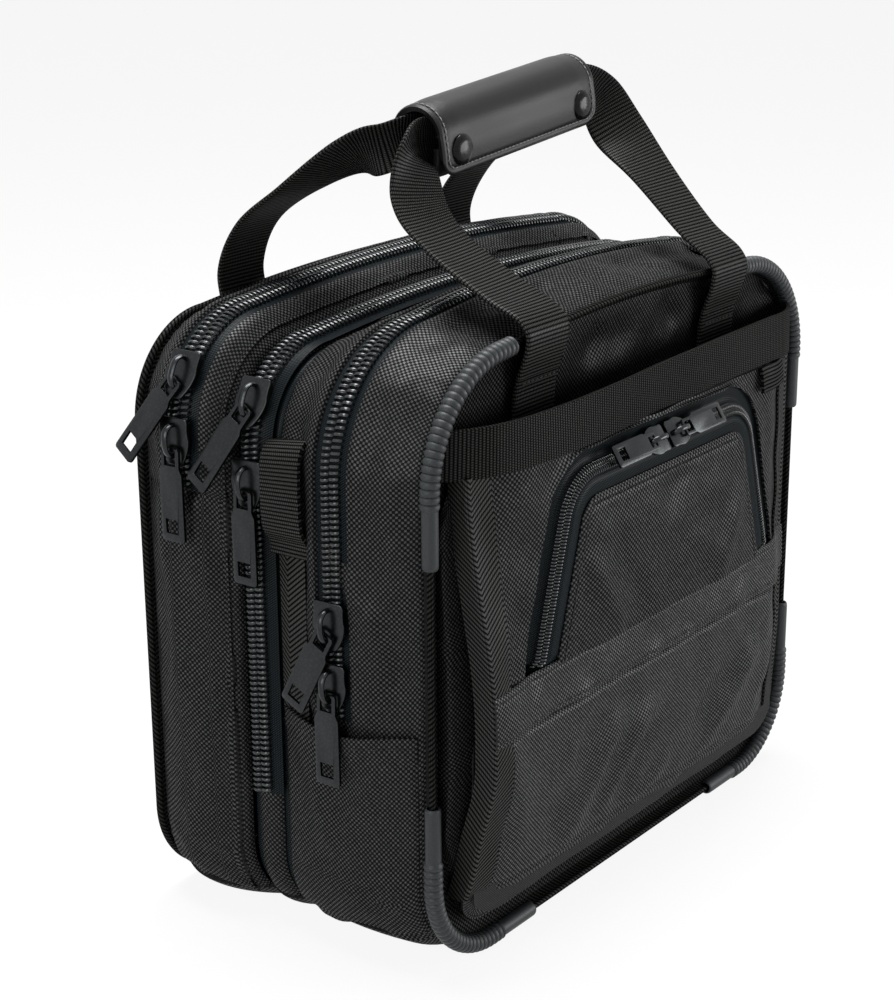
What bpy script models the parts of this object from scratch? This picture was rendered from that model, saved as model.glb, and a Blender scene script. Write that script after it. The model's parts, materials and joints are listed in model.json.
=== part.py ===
"""Soft-sided flight bag with three zipped compartments, a front pocket, rubber corner guards and a wrapped carry handle.

The bag stands on its flat base at z = 0, its front panel faces -Y and its visible side is -X.
Sizes below are in millimetres, and vertices are written in metres.
"""

import math

import bmesh
import bpy
from mathutils import Matrix, Vector

MM = 0.001

# Body: seam outlines from the front panel to the rear panel
WIDTH = 310.0
HEIGHT = 284.0
FRONT_DEPTH = 83.0
MIDDLE_DEPTH = 19.0
REAR_DEPTH = 55.0
FRONT_SEAM_Y = -77.0
CROWN = 6.0
FRONT_TOP_RADIUS = 50.0
FRONT_SEAM_DROP = 8.0
MIDDLE_TOP_RADIUS = 40.0
REAR_TOP_RADIUS = 42.0
BOTTOM_RADIUS = 40.0
FRONT_SIDE_PUFF = 6.0
FRONT_TOP_PUFF = 10.0
FRONT_CORNER_PUFF = 14.0
MIDDLE_SIDE_PUFF = 4.0
MIDDLE_TOP_PUFF = 2.0
REAR_SIDE_PUFF = 10.0
REAR_TOP_PUFF = 10.0
REAR_CORNER_PUFF = 5.0
SEAM_TUCK = 2.0
REAR_SPREAD = 3.0
BASE_ROLL = 20.0
FRONT_LIFT = 8.2
REAR_LIFT = 5.0

# Fabric, boards and clearances
WALL = 2.0
BASE_WALL = 3.0
PANEL = 2.5
DIVIDER = 1.2
CLEARANCE = 0.35
TOP_HALF = 100.0

# Piping and ribbed corner guards
PIPE_RADIUS = 2.4
PIPE_FIN = 1.2
GUARD_BORE = 3.1
SLEEVE_RADIUS = 3.8
RIB_RADIUS = 4.6
GROOVE_RADIUS = 3.95
PIPE_OFFSET = 3.5
RIBS = 28
TOP_RIB_RUN = 14.0
SLEEVE = 24.0
REAR_PIPE_RADIUS = 2.0

# Coil zips
TAPE_HALF = 13.0
NARROW_TAPE_HALF = 7.6
TAPE_TOP = 1.0
CHAIN_HALF = 4.8
CHAIN_TOP = 3.4
FRONT_ZIP_SETBACK = 48.0
REAR_ZIP_SETBACK = 25.0
FRONT_ZIP_GAP = 2.0
MIDDLE_ZIP_END = 70.0
REAR_ZIP_DROP = 74.0

# Zip sliders and pull tabs
SLIDER_LIFT = 3.8
SLIDER_PLATE = 1.4
SLIDER_HALF = 8.6
BAIL_WIDTH = 3.0
BAIL_RISE = 6.0
PIVOT_RISE = 1.8
PIVOT_BACK = 3.2
PULL_LENGTH = 42.0
PULL_WIDTH = 13.0
PULL_EYE_WIDTH = 10.0
PULL_THICK = 1.4
FRONT_SLIDERS_Z = (162.0, 134.0)
MIDDLE_SLIDER_DROP = 67.0
REAR_SLIDER_DROP = 52.0
MIDDLE_SLIDER_TURN = 26.5
REAR_SLIDER_TURN = 28.5
MIDDLE_PULL_LEAN = -7.0
REAR_PULL_LEAN = -7.0
UPPER_PULL_TILT = 28.0
REAR_PULL_TILT = 30.0

# Front pocket
POCKET_MARGIN = 17.0
POCKET_DEPTH = 18.0
POCKET_FLOOR = 18.0
POCKET_CORNER = 22.0
POCKET_WALL = 1.6
LINING_DEPTH = 9.5
BAND_DROP = 54.0
BAND_HEIGHT = 22.0
BAND_THICK = 1.8
BAND_MARGIN = 15.0
HEM_BOTTOM = 113.0
HEM_HEIGHT = 23.0
FLAP_MARGIN = 38.0
FLAP_TAPER = 24.0
FLAP_DROP = 13.0
FLAP_CORNER = 24.0
FLAP_RISE = 4.0
POCKET_ZIP_TILT = 33.0
POCKET_ZIP_SCALE = 0.8
POCKET_TAPE = 0.8
POCKET_SLIDERS_X = (-11.0, 9.0)

# Side trim
SIDE_POCKET_TOP = 116.0
SIDE_POCKET_WALL = 1.2
SIDE_POCKET_INSET = 8.0
LOOP_WIDTH = 21.0
LOOP_DROP = 44.0
LOOP_LENGTH = 52.0
LOOP_RISE = 4.9
LOOP_THICK = 1.4

# Carry handle
WEBBING = 36.0
WEBBING_THICK = 2.2
FRONT_STRAP_INSET = 78.0
REAR_STRAP_INSET = 73.0
STRAP_SEWN = 52.0
FRONT_STRAP_TAIL = 26.0
REAR_STRAP_TAIL = 20.0
BRIM_DROP = 2.0
GRIP_LENGTH = 122.0
GRIP_CENTRE = (0.0, -1.0, 351.0)
GRIP_TILT = 5.0
GRIP_RADIUS = 14.0
GRIP_CREASE = 8.0
GRIP_UNDER = 12.5
GRIP_DROP = 10.0
GRIP_LEATHER = 2.2
GRIP_FOLD = 0.65
GRIP_WEBBING_RISE = 6.2
GRIP_PITCH = 4.6
CAP_RADIUS = 6.8
CAP_RISE = 2.4
CAP_INSET = 13.0
CAP_HEIGHT = 10.8

# Values that follow from the sizes above
FRONT_FACE = FRONT_SEAM_Y + PIPE_OFFSET
FRONT_DIVIDER_Y = FRONT_SEAM_Y + FRONT_DEPTH
REAR_DIVIDER_Y = FRONT_DIVIDER_Y + MIDDLE_DEPTH
REAR_FACE = REAR_DIVIDER_Y + REAR_DEPTH
HALF = WIDTH / 2 - PIPE_OFFSET
TOP = HEIGHT - PIPE_OFFSET
FRONT_ZIP_Y = FRONT_SEAM_Y + FRONT_ZIP_SETBACK
MIDDLE_ZIP_Y = (FRONT_DIVIDER_Y + REAR_DIVIDER_Y) / 2
REAR_ZIP_Y = REAR_DIVIDER_Y + REAR_ZIP_SETBACK
FRONT_ZIP_END = SIDE_POCKET_TOP + FRONT_ZIP_GAP
FRONT_STRAP_X = WIDTH / 2 - FRONT_STRAP_INSET
REAR_STRAP_X = WIDTH / 2 - REAR_STRAP_INSET
POCKET_FACE = FRONT_FACE - POCKET_DEPTH
REAR_ZIP_END = HEIGHT - REAR_ZIP_DROP
MIDDLE_SLIDER_Z = HEIGHT - MIDDLE_SLIDER_DROP
REAR_SLIDER_Z = HEIGHT - REAR_SLIDER_DROP
BAND_BOTTOM = HEIGHT - BAND_DROP
FLAP_TOP = BAND_BOTTOM - FLAP_DROP
LOOP_TOP = HEIGHT - LOOP_DROP
LOOP_FOOT = LOOP_TOP - LOOP_LENGTH
POCKET_HALF = WIDTH / 2 - POCKET_MARGIN
BAND_END = WIDTH / 2 - BAND_MARGIN
FLAP_FOOT_HALF = POCKET_HALF - FLAP_MARGIN
FLAP_TOP_HALF = FLAP_FOOT_HALF - FLAP_TAPER
SLIT = DIVIDER / 2 + CLEARANCE

# Each seam: depth, half width, top, top corner radius
SEAMS = (
    (FRONT_FACE, HALF, TOP, FRONT_TOP_RADIUS),
    (FRONT_DIVIDER_Y, HALF + SEAM_TUCK, TOP - FRONT_SEAM_DROP / 2, MIDDLE_TOP_RADIUS),
    (REAR_DIVIDER_Y, HALF + SEAM_TUCK, TOP - FRONT_SEAM_DROP / 2, MIDDLE_TOP_RADIUS),
    (REAR_FACE, HALF + SEAM_TUCK + REAR_SPREAD, TOP, REAR_TOP_RADIUS),
)
PUFFS = (
    (FRONT_SIDE_PUFF, FRONT_TOP_PUFF, FRONT_CORNER_PUFF),
    (MIDDLE_SIDE_PUFF, MIDDLE_TOP_PUFF, 0.0),
    (REAR_SIDE_PUFF, REAR_TOP_PUFF, REAR_CORNER_PUFF),
)
FRONT, MIDDLE, REAR = range(3)
ZIP_DEPTHS = (FRONT_ZIP_Y, MIDDLE_ZIP_Y, REAR_ZIP_Y)
BASE_STATIONS = (-1.5, -1.33, -1.17, -1.0, -0.5, 0.0, 0.5, 1.0, 1.17, 1.33, 1.5)
LEFT, RIGHT = -1, 1


def clear_scene():
    for obj in list(bpy.data.objects):
        bpy.data.objects.remove(obj, do_unlink=True)


def make_material(name, colour, roughness, metallic=0.0):
    material = bpy.data.materials.new(name)
    material.use_nodes = True
    shader = material.node_tree.nodes["Principled BSDF"]
    shader.inputs["Base Color"].default_value = (*colour, 1.0)
    shader.inputs["Roughness"].default_value = roughness
    shader.inputs["Metallic"].default_value = metallic
    return material


def new_object(name, mesh, material):
    obj = bpy.data.objects.new(name, mesh)
    obj.data.materials.clear()
    obj.data.materials.append(material)
    bpy.context.scene.collection.objects.link(obj)
    return obj


def mesh_of(name, points, faces):
    """A mesh from points in millimetres, with its faces turned outwards."""
    mesh = bpy.data.meshes.new(name)
    mesh.from_pydata([Vector(point) * MM for point in points], [], faces)
    work = bmesh.new()
    work.from_mesh(mesh)
    bmesh.ops.recalc_face_normals(work, faces=work.faces)
    work.to_mesh(mesh)
    work.free()
    mesh.shade_smooth()
    mesh.set_sharp_from_angle(angle=math.radians(35))
    return mesh


def loft_mesh(name, loops, ring=False):
    """Section loops joined one after another, capped at both ends unless they close into a ring."""
    size = len(loops[0])
    points = [point for loop in loops for point in loop]
    faces = []
    spans = len(loops) if ring else len(loops) - 1
    for i in range(spans):
        a, b = i * size, (i + 1) % len(loops) * size
        for j in range(size):
            k = (j + 1) % size
            faces.append((a + j, a + k, b + k, b + j))
    if not ring:
        faces.append(tuple(range(size)))
        last = (len(loops) - 1) * size
        faces.append(tuple(range(last, last + size)))
    return mesh_of(name, points, faces)


def loft(name, loops, material, ring=False):
    return new_object(name, loft_mesh(name, loops, ring), material)


def plate(name, outline, near, far, material, place):
    """A flat outline extruded from near to far; place maps (a, b, depth) to a point."""
    loops = [[place(a, b, depth) for a, b in outline] for depth in (near, far)]
    return loft(name, loops, material)


def sheet(name, outer, inner, material):
    """A curved sheet between a grid of outer points and the grid of points below them."""
    rows, columns = len(outer), len(outer[0])
    points = [point for grid in (outer, inner) for row in grid for point in row]
    below = rows * columns
    faces = []
    for i in range(rows - 1):
        for j in range(columns - 1):
            a = i * columns + j
            b = a + columns
            faces.append((a, a + 1, b + 1, b))
            faces.append((below + a, below + b, below + b + 1, below + a + 1))
    rim = list(range(columns))
    rim += [i * columns + columns - 1 for i in range(1, rows)]
    rim += [(rows - 1) * columns + j for j in reversed(range(columns - 1))]
    rim += [i * columns for i in reversed(range(1, rows - 1))]
    for a, b in zip(rim, rim[1:] + rim[:1]):
        faces.append((a, below + a, below + b, b))
    return new_object(name, mesh_of(name, points, faces), material)


def skin_sheet(name, stations, lobe, thickness, material, lift=0.0):
    """A sheet laid on the skin; stations lists each row's depth and its u values."""
    outer = [[drape(u, y, lobe, lift) for u in us] for y, us in stations]
    inner = [[drape(u, y, lobe, lift - thickness) for u in us] for y, us in stations]
    return sheet(name, outer, inner, material)


def combined_mesh(name, base, others, operation):
    """The base mesh joined with, or cut by, the other meshes."""
    holder = bpy.data.objects.new(name + "_holder", base)
    bpy.context.scene.collection.objects.link(holder)
    helpers = []
    for other in others:
        helper = bpy.data.objects.new(name + "_helper", other)
        bpy.context.scene.collection.objects.link(helper)
        boolean = holder.modifiers.new("Boolean", "BOOLEAN")
        boolean.operation = operation
        boolean.solver = "EXACT"
        boolean.object = helper
        helpers.append(helper)
    graph = bpy.context.evaluated_depsgraph_get()
    mesh = bpy.data.meshes.new_from_object(holder.evaluated_get(graph))
    mesh.name = name
    for obj in (holder, *helpers):
        bpy.data.objects.remove(obj, do_unlink=True)
    return mesh


def steps(start, end, count):
    return [start + (end - start) * i / count for i in range(count + 1)]


def lobe_section(y, lobe):
    """Half width, top, top radius and bottom height of a compartment's outline at depth y."""
    near, far = SEAMS[lobe], SEAMS[lobe + 1]
    t = (y - near[0]) / (far[0] - near[0])
    swell = 4 * t * (1 - t)
    side_puff, top_puff, corner_puff = PUFFS[lobe]
    half = near[1] + (far[1] - near[1]) * t + side_puff * swell
    top = near[2] + (far[2] - near[2]) * t + top_puff * swell
    radius = near[3] + (far[3] - near[3]) * t + corner_puff * swell
    front_roll = max(0.0, 1 - (y - FRONT_FACE) / BASE_ROLL)
    rear_roll = max(0.0, 1 - (REAR_FACE - y) / BASE_ROLL)
    bottom = FRONT_LIFT * front_roll**2 + REAR_LIFT * rear_roll**2
    return half, top, radius, bottom


def skin(u, y, lobe):
    """A point of the bag's outer skin. |u| runs up one side: base 0 to 1, lower corner to 2, side to 3, upper corner to 4, top to 5."""
    half, top, radius, bottom = lobe_section(y, lobe)
    a = abs(u)
    shoulder = top - CROWN - radius
    if a <= 1:
        x, z = a * (half - BOTTOM_RADIUS), bottom
    elif a <= 2:
        turn = (a - 1) * math.pi / 2
        x = half - BOTTOM_RADIUS + BOTTOM_RADIUS * math.sin(turn)
        z = bottom + BOTTOM_RADIUS * (1 - math.cos(turn))
    elif a <= 3:
        x, z = half, bottom + BOTTOM_RADIUS + (a - 2) * (shoulder - bottom - BOTTOM_RADIUS)
    elif a <= 4:
        turn = (a - 3) * math.pi / 2
        x = half - radius + radius * math.cos(turn)
        z = shoulder + radius * math.sin(turn)
    else:
        share = 5 - a
        x, z = share * (half - radius), top - CROWN * share**2
    return Vector((x if u >= 0 else -x, y, z))


def skin_normal(u, y, lobe):
    near, far = SEAMS[lobe][0], SEAMS[lobe + 1][0]
    step = 0.05
    y = min(max(y, near + step), far - step)
    along = skin(u + 0.002, y, lobe) - skin(u - 0.002, y, lobe)
    across = skin(u, y + step, lobe) - skin(u, y - step, lobe)
    normal = along.cross(across).normalized()
    centre = Vector((0, y, TOP / 2))
    return normal if normal.dot(skin(u, y, lobe) - centre) > 0 else -normal


def side_u(z, y, lobe):
    """The u of height z on the straight side."""
    half, top, radius, bottom = lobe_section(y, lobe)
    low = bottom + BOTTOM_RADIUS
    return 2 + (z - low) / (top - CROWN - radius - low)


def top_u(x, y, lobe):
    """The u of width x on the top, where it is between the upper corners."""
    half, top, radius, bottom = lobe_section(y, lobe)
    return 5 - abs(x) / (half - radius)


def drape(u, y, lobe, lift):
    return skin(u, y, lobe) + skin_normal(u, y, lobe) * lift


def outline_loop(y, lobe, inset=0.0, corner_steps=6, top_steps=6):
    """Points once round the skin at depth y, moved in by inset."""
    half_turn = [0.0, 1.0]
    half_turn += steps(1, 2, corner_steps)[1:]
    half_turn += steps(3, 4, corner_steps)
    half_turn += steps(4, 5, top_steps)[1:]
    loop = []
    for u in half_turn:
        loop.append(skin(u, y, lobe))
    for u in reversed(half_turn[1:-1]):
        loop.append(skin(-u, y, lobe))
    return [inset_point(loop, i, inset) for i in range(len(loop))]


def inset_point(loop, i, inset):
    """Point i of a flat loop in the XZ plane, moved in square to its neighbours."""
    before, after = loop[i - 1], loop[(i + 1) % len(loop)]
    run = (after - before).normalized()
    return loop[i] + Vector((-run.z, 0, run.x)) * inset


def make_panels(fabric, board):
    """The flat front and rear panels, sewn to the gussets all round."""
    front = outline_loop(FRONT_FACE, FRONT)
    loops = [[Vector((p.x, y, p.z)) for p in front] for y in (FRONT_FACE, FRONT_FACE + PANEL)]
    loft("front_panel", loops, fabric)
    rear = outline_loop(REAR_FACE, REAR)
    rear_inner = [Vector((p.x, REAR_FACE - PANEL, p.z)) for p in rear]
    crowned = outline_loop(REAR_FACE, REAR, inset=12.0)
    rear_outer = [Vector((p.x, REAR_FACE + PANEL, p.z)) for p in crowned]
    loft("rear_panel", [rear_inner, rear, rear_outer], fabric)
    for name, y, lobe in (
        ("front_divider", FRONT_DIVIDER_Y, MIDDLE),
        ("rear_divider", REAR_DIVIDER_Y, REAR),
    ):
        loops = []
        for depth in (y - DIVIDER / 2, y + DIVIDER / 2):
            loops.append([Vector((p.x, depth, p.z)) for p in divider_outline(y, lobe)])
        loft(name, loops, board)


def divider_outline(y, lobe):
    """A divider fills the seam slot at the sides and top, and stands on the base panel."""
    low = [drape(u, y, lobe, -BASE_WALL - 2 * CLEARANCE) for u in BASE_STATIONS]
    right = [drape(u, y, lobe, -WALL / 2) for u in steps(1.6, 2, 2) + steps(3, 4, 4)]
    top = [drape(u, y, lobe, -WALL - CLEARANCE) for u in steps(4.1, 4.9, 3)]
    left = [Vector((-p.x, p.y, p.z)) for p in reversed(right + top)]
    return low + right + top + left


def make_base(fabric):
    """One base panel under all three compartments, turned up half way round the lower corners."""
    depths = [FRONT_FACE + PANEL + CLEARANCE]
    depths += [FRONT_FACE + BASE_ROLL / 2, FRONT_FACE + BASE_ROLL]
    depths += [FRONT_DIVIDER_Y, REAR_DIVIDER_Y]
    depths += [REAR_FACE - BASE_ROLL, REAR_FACE - BASE_ROLL / 2]
    depths += [REAR_FACE - PANEL - CLEARANCE]
    outer, inner = [], []
    for y in depths:
        lobe = FRONT if y < FRONT_DIVIDER_Y else MIDDLE if y < REAR_DIVIDER_Y else REAR
        outer.append([skin(u, y, lobe) for u in BASE_STATIONS])
        inner.append([drape(u, y, lobe, -BASE_WALL) for u in BASE_STATIONS])
    sheet("base_panel", outer, inner, fabric)


def lobe_depths(lobe):
    """Depths across a compartment's gusset: its two seams, and the edges of its zip."""
    near = SEAMS[lobe][0] + (PANEL + CLEARANCE if lobe == FRONT else SLIT)
    far = SEAMS[lobe + 1][0] - (PANEL + CLEARANCE if lobe == REAR else SLIT)
    across = [dy for dy, _ in zip_section(*zip_tapes(lobe))[:5]]
    middle = [ZIP_DEPTHS[lobe] + dy for dy in across]
    between = [(near + middle[0]) / 2, (far + middle[-1]) / 2] if lobe != MIDDLE else []
    return [near] + sorted(middle + between) + [far]


def side_stations(y, lobe, side):
    """The u stations of a side gusset at depth y, from the base panel's edge to the top strips' ends."""
    start = 1.5 + 2 * CLEARANCE / (BOTTOM_RADIUS * math.pi / 2)
    end = top_u(TOP_HALF + 2 * CLEARANCE, y, lobe)
    us = steps(start, 2, 2) + steps(3, 4, 6) + [end]
    return [side * u for u in us]


def make_gussets(fabric):
    for word, lobe in (("front", FRONT), ("middle", MIDDLE), ("rear", REAR)):
        for side, hand in ((LEFT, "left"), (RIGHT, "right")):
            stations = [(y, side_stations(y, lobe, side)) for y in lobe_depths(lobe)]
            skin_sheet(f"{word}_gusset_{hand}", stations, lobe, WALL, fabric)


def top_stations(y, lobe):
    """The u stations of the top between the upper corners at depth y."""
    return [math.copysign(top_u(x, y, lobe), x) for x in steps(-TOP_HALF, TOP_HALF, 8)]


def top_strip(name, near, far, lobe, fabric):
    """A strip of the top between the upper corners, from depth near to far."""
    depths = [near] + [y for y in lobe_depths(lobe) if near + 1 < y < far - 1] + [far]
    return skin_sheet(name, [(y, top_stations(y, lobe)) for y in depths], lobe, WALL, fabric)


def set_origin(obj, point):
    """Moves an object's origin to point and leaves its shape where it is."""
    shift = Vector(point) * MM
    obj.data.transform(Matrix.Translation(-shift))
    obj.location = shift


def hinge_point(y, lobe, lift=0.0):
    """The highest point of the top at depth y, where a mouth flap turns."""
    return (0, y, skin(5.0, y, lobe).z + lift)


def make_top(fabric):
    """Fixed strips beside the zips, and the strips that lift when their zip is open."""
    edge = CHAIN_HALF + 2 * CLEARANCE
    front_near = FRONT_FACE + PANEL + CLEARANCE
    front_far = FRONT_DIVIDER_Y - SLIT
    rear_far = REAR_FACE - PANEL - CLEARANCE
    top_strip("front_top_strip", front_near, FRONT_ZIP_Y, FRONT, fabric)
    top_strip("rear_top_strip", REAR_DIVIDER_Y + SLIT, REAR_ZIP_Y, REAR, fabric)
    flap = top_strip("front_mouth_flap", FRONT_ZIP_Y + edge, front_far, FRONT, fabric)
    set_origin(flap, hinge_point(front_far, FRONT))
    flap = top_strip("rear_mouth_flap", REAR_ZIP_Y + edge, rear_far, REAR, fabric)
    set_origin(flap, hinge_point(rear_far, REAR))


def zip_tapes(lobe):
    half = NARROW_TAPE_HALF if lobe == MIDDLE else TAPE_HALF
    return half, half


def zip_section(tape_near, tape_far, scale=1.0, floor=None):
    """Half-round coil chain on its flat tape: (offset across, lift) once round."""
    chain, rise, tape = CHAIN_HALF * scale, CHAIN_TOP * scale, TAPE_TOP * scale
    floor = CLEARANCE if floor is None else floor
    return (
        (-tape_near, floor),
        (-chain, floor),
        (0.0, floor),
        (chain, floor),
        (tape_far, floor),
        (tape_far, tape),
        (chain, tape),
        (chain * 0.86, rise * 0.76),
        (chain * 0.5, rise),
        (-chain * 0.5, rise),
        (-chain * 0.86, rise * 0.76),
        (-chain, tape),
        (-tape_near, tape),
    )


def side_run(z_end, lobe, side, section):
    """Zip loops up one side, round the corner and up to the top strips' ends."""
    y = ZIP_DEPTHS[lobe]
    columns = []
    for dy, lift in section:
        us = side_stations(y + dy, lobe, 1)
        us = [side_u(z_end, y + dy, lobe)] + [u for u in us if u >= 3]
        us[-1] = top_u(TOP_HALF + 6 * CLEARANCE, y + dy, lobe)
        columns.append([drape(side * u, y + dy, lobe, lift) for u in us])
    return [list(loop) for loop in zip(*columns)]


def top_run(lobe, section):
    """Zip loops across the top from left to right."""
    y = ZIP_DEPTHS[lobe]
    columns = []
    for dy, lift in section:
        columns.append([drape(u, y + dy, lobe, lift) for u in top_stations(y + dy, lobe)])
    return [list(loop) for loop in zip(*columns)]


def make_zips(coil):
    """Front and rear zips over the bag, and the middle zip in three pieces, because its top is the flap itself."""
    bare = zip_section(TAPE_HALF, CHAIN_HALF + CLEARANCE)
    for word, lobe, z_end in (("front", FRONT, FRONT_ZIP_END), ("rear", REAR, REAR_ZIP_END)):
        left = side_run(z_end, lobe, LEFT, zip_section(*zip_tapes(lobe)))
        right = side_run(z_end, lobe, RIGHT, zip_section(*zip_tapes(lobe)))
        loft(f"{word}_zip", left + top_run(lobe, bare) + right[::-1], coil)
    for side, hand in ((LEFT, "left"), (RIGHT, "right")):
        loops = side_run(MIDDLE_ZIP_END, MIDDLE, side, zip_section(*zip_tapes(MIDDLE)))
        loft(f"middle_zip_{hand}", loops, coil)
    half = MIDDLE_DEPTH / 2 - SLIT
    flap = loft("middle_mouth_flap", top_run(MIDDLE, zip_section(half, half, floor=-WALL)), coil)
    set_origin(flap, hinge_point(REAR_DIVIDER_Y - SLIT, MIDDLE, TAPE_TOP))


def pipe_path(y, lobe, offset):
    """Points and outward directions once round the piping, which stands off the seam by offset."""
    loop = outline_loop(y, lobe, corner_steps=8, top_steps=5)
    path = []
    for i, point in enumerate(loop):
        moved = inset_point(loop, i, -offset)
        path.append((moved, (moved - point).normalized()))
    return path


def make_piping(fabric):
    """Piping round the front seam, with a sewn fin that reaches into it, and a thinner cord round the rear seam."""
    front = []
    for point, out in pipe_path(FRONT_FACE, FRONT, PIPE_OFFSET):
        front.append([keyhole_point(point, out, i) for i in range(9)])
    for loop in front:
        for point in loop:
            point.y -= PIPE_OFFSET
    loft("front_piping", front, fabric, ring=True)
    rear = []
    offset = REAR_PIPE_RADIUS + CLEARANCE
    for point, out in pipe_path(REAR_FACE, REAR, offset):
        centre = Vector((point.x, REAR_FACE, point.z))
        ring = []
        for i in range(6):
            turn = math.tau * i / 6
            arm = out * math.cos(turn) + Vector((0, math.sin(turn), 0))
            ring.append(centre + arm * REAR_PIPE_RADIUS)
        rear.append(ring)
    loft("rear_piping", rear, fabric, ring=True)


def keyhole_point(centre, out, i):
    """Section of the piping: seven points of a circle, closed by the two edges of a fin that runs in to the seam."""
    front = Vector((0, -1, 0))
    inward = -(out + front).normalized()
    across = (out - front).normalized()
    if i < 7:
        turn = math.radians(40 + 280 * i / 6)
        return centre + (inward * math.cos(turn) + across * math.sin(turn)) * PIPE_RADIUS
    reach = PIPE_OFFSET * math.sqrt(2) - CLEARANCE
    side = -PIPE_FIN / 2 if i == 7 else PIPE_FIN / 2
    return centre + inward * reach + across * side


def guard_loop(centre, out, radius):
    """C-shaped section of a corner guard, open towards the seam."""
    front = Vector((0, -1, 0))
    inward = -(out + front).normalized()
    across = (out - front).normalized()
    loop = []
    for i in range(9):
        turn = math.radians(38 + 284 * i / 8)
        loop.append(centre + (inward * math.cos(turn) + across * math.sin(turn)) * radius)
    for i in range(6):
        turn = math.radians(322 - 284 * i / 5)
        loop.append(centre + (inward * math.cos(turn) + across * math.sin(turn)) * GUARD_BORE)
    return loop


def corner_route(top):
    """Centre line of a right-hand guard: (length, point, outward) from the side, round the corner, along the edge."""
    half, height = WIDTH / 2, HEIGHT
    if top:
        radius = FRONT_TOP_RADIUS + PIPE_OFFSET
        corner = Vector((half - radius, FRONT_SEAM_Y, height - CROWN - radius))
        sign = 1
    else:
        radius = BOTTOM_RADIUS + PIPE_OFFSET
        corner = Vector((half - radius, FRONT_SEAM_Y, FRONT_LIFT - PIPE_OFFSET + radius))
        sign = -1
    arc = radius * math.pi / 2

    def at(length):
        if length < 0:
            return corner + Vector((radius, 0, sign * length)), Vector((1, 0, 0))
        if length <= arc:
            turn = length / radius
            out = Vector((math.cos(turn), 0, sign * math.sin(turn)))
            return corner + out * radius, out
        run = length - arc
        rise = edge_rise(run, top, half - radius)
        return corner + Vector((-run, 0, sign * (radius + rise))), Vector((0, 0, sign))

    return at, arc


def edge_rise(run, top, reach):
    """How far the front panel's top edge climbs along its crown, run from the corner."""
    if not top:
        return 0.0
    return CROWN * (1 - ((reach - run) / reach) ** 2)


def make_guards(rubber):
    """Four slit rubber guards: ribbed round the corner, with a smooth sleeve at each end that the photo shows."""
    for name, top, side in (
        ("guard_top_left", True, LEFT),
        ("guard_top_right", True, RIGHT),
        ("guard_bottom_left", False, LEFT),
        ("guard_bottom_right", False, RIGHT),
    ):
        at, arc = corner_route(top)
        start, end = -TOP_RIB_RUN, arc + 6.0
        stations = [(start - SLEEVE, SLEEVE_RADIUS), (start, SLEEVE_RADIUS)]
        pitch = (end - start) / RIBS
        for i in range(RIBS):
            low = start + pitch * (i + 0.1)
            stations += [(low, GROOVE_RADIUS), (low + pitch * 0.45, RIB_RADIUS)]
        stations.append((end, GROOVE_RADIUS))
        if not top:
            stations += [(end + 0.5, SLEEVE_RADIUS), (end + SLEEVE, SLEEVE_RADIUS)]
        loops = []
        for length, radius in stations:
            centre, out = at(length)
            loop = guard_loop(centre, out, radius)
            loops.append([Vector((side * p.x, p.y, p.z)) for p in loop])
        loft(name, loops, rubber)


def facing_front(a, b, depth):
    return Vector((a, depth, b))


def pocket_outline(half, floor, corner, head):
    """U outline of the pocket: straight top edge, rounded lower corners."""
    points = [(-half, head)]
    for turn in steps(math.pi, 1.5 * math.pi, 4):
        points.append((-half + corner + corner * math.cos(turn), floor + corner + corner * math.sin(turn)))
    for turn in steps(1.5 * math.pi, 2 * math.pi, 4):
        points.append((half - corner + corner * math.cos(turn), floor + corner + corner * math.sin(turn)))
    points.append((half, head))
    return points


def flap_route(shift):
    """The U of the pocket zip from its left foot to its right foot, moved out by shift: (x, z, out x, out z)."""
    slope = (FLAP_FOOT_HALF - FLAP_TOP_HALF) / (FLAP_TOP - flap_foot())
    lean = math.atan(slope)
    radius = FLAP_CORNER + shift
    top = FLAP_TOP + shift
    half = FLAP_TOP_HALF + shift * math.cos(lean) + shift * slope * math.sin(lean)
    centre_x = FLAP_TOP_HALF - FLAP_CORNER * math.tan(math.pi / 4 - lean / 2)
    centre_z = FLAP_TOP - FLAP_CORNER
    side = []
    foot_z = flap_foot()
    edge = Vector((math.cos(lean), math.sin(lean)))
    start = Vector((centre_x, centre_z)) + edge * radius
    down = (start.y - foot_z) / math.cos(lean)
    foot = start + Vector((math.sin(lean), -math.cos(lean))) * down
    for share in steps(0, 1, 2):
        point = foot + (start - foot) * share
        side.append((point.x, point.y, edge.x, edge.y))
    for turn in steps(lean, math.pi / 2, 4)[1:]:
        out = (math.cos(turn), math.sin(turn))
        side.append((centre_x + radius * out[0], centre_z + radius * out[1], *out))
    left = [(-x, z, -ox, oz) for x, z, ox, oz in side]
    return left + side[::-1]


def flap_foot():
    return HEM_BOTTOM + HEM_HEIGHT + CLEARANCE


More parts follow.
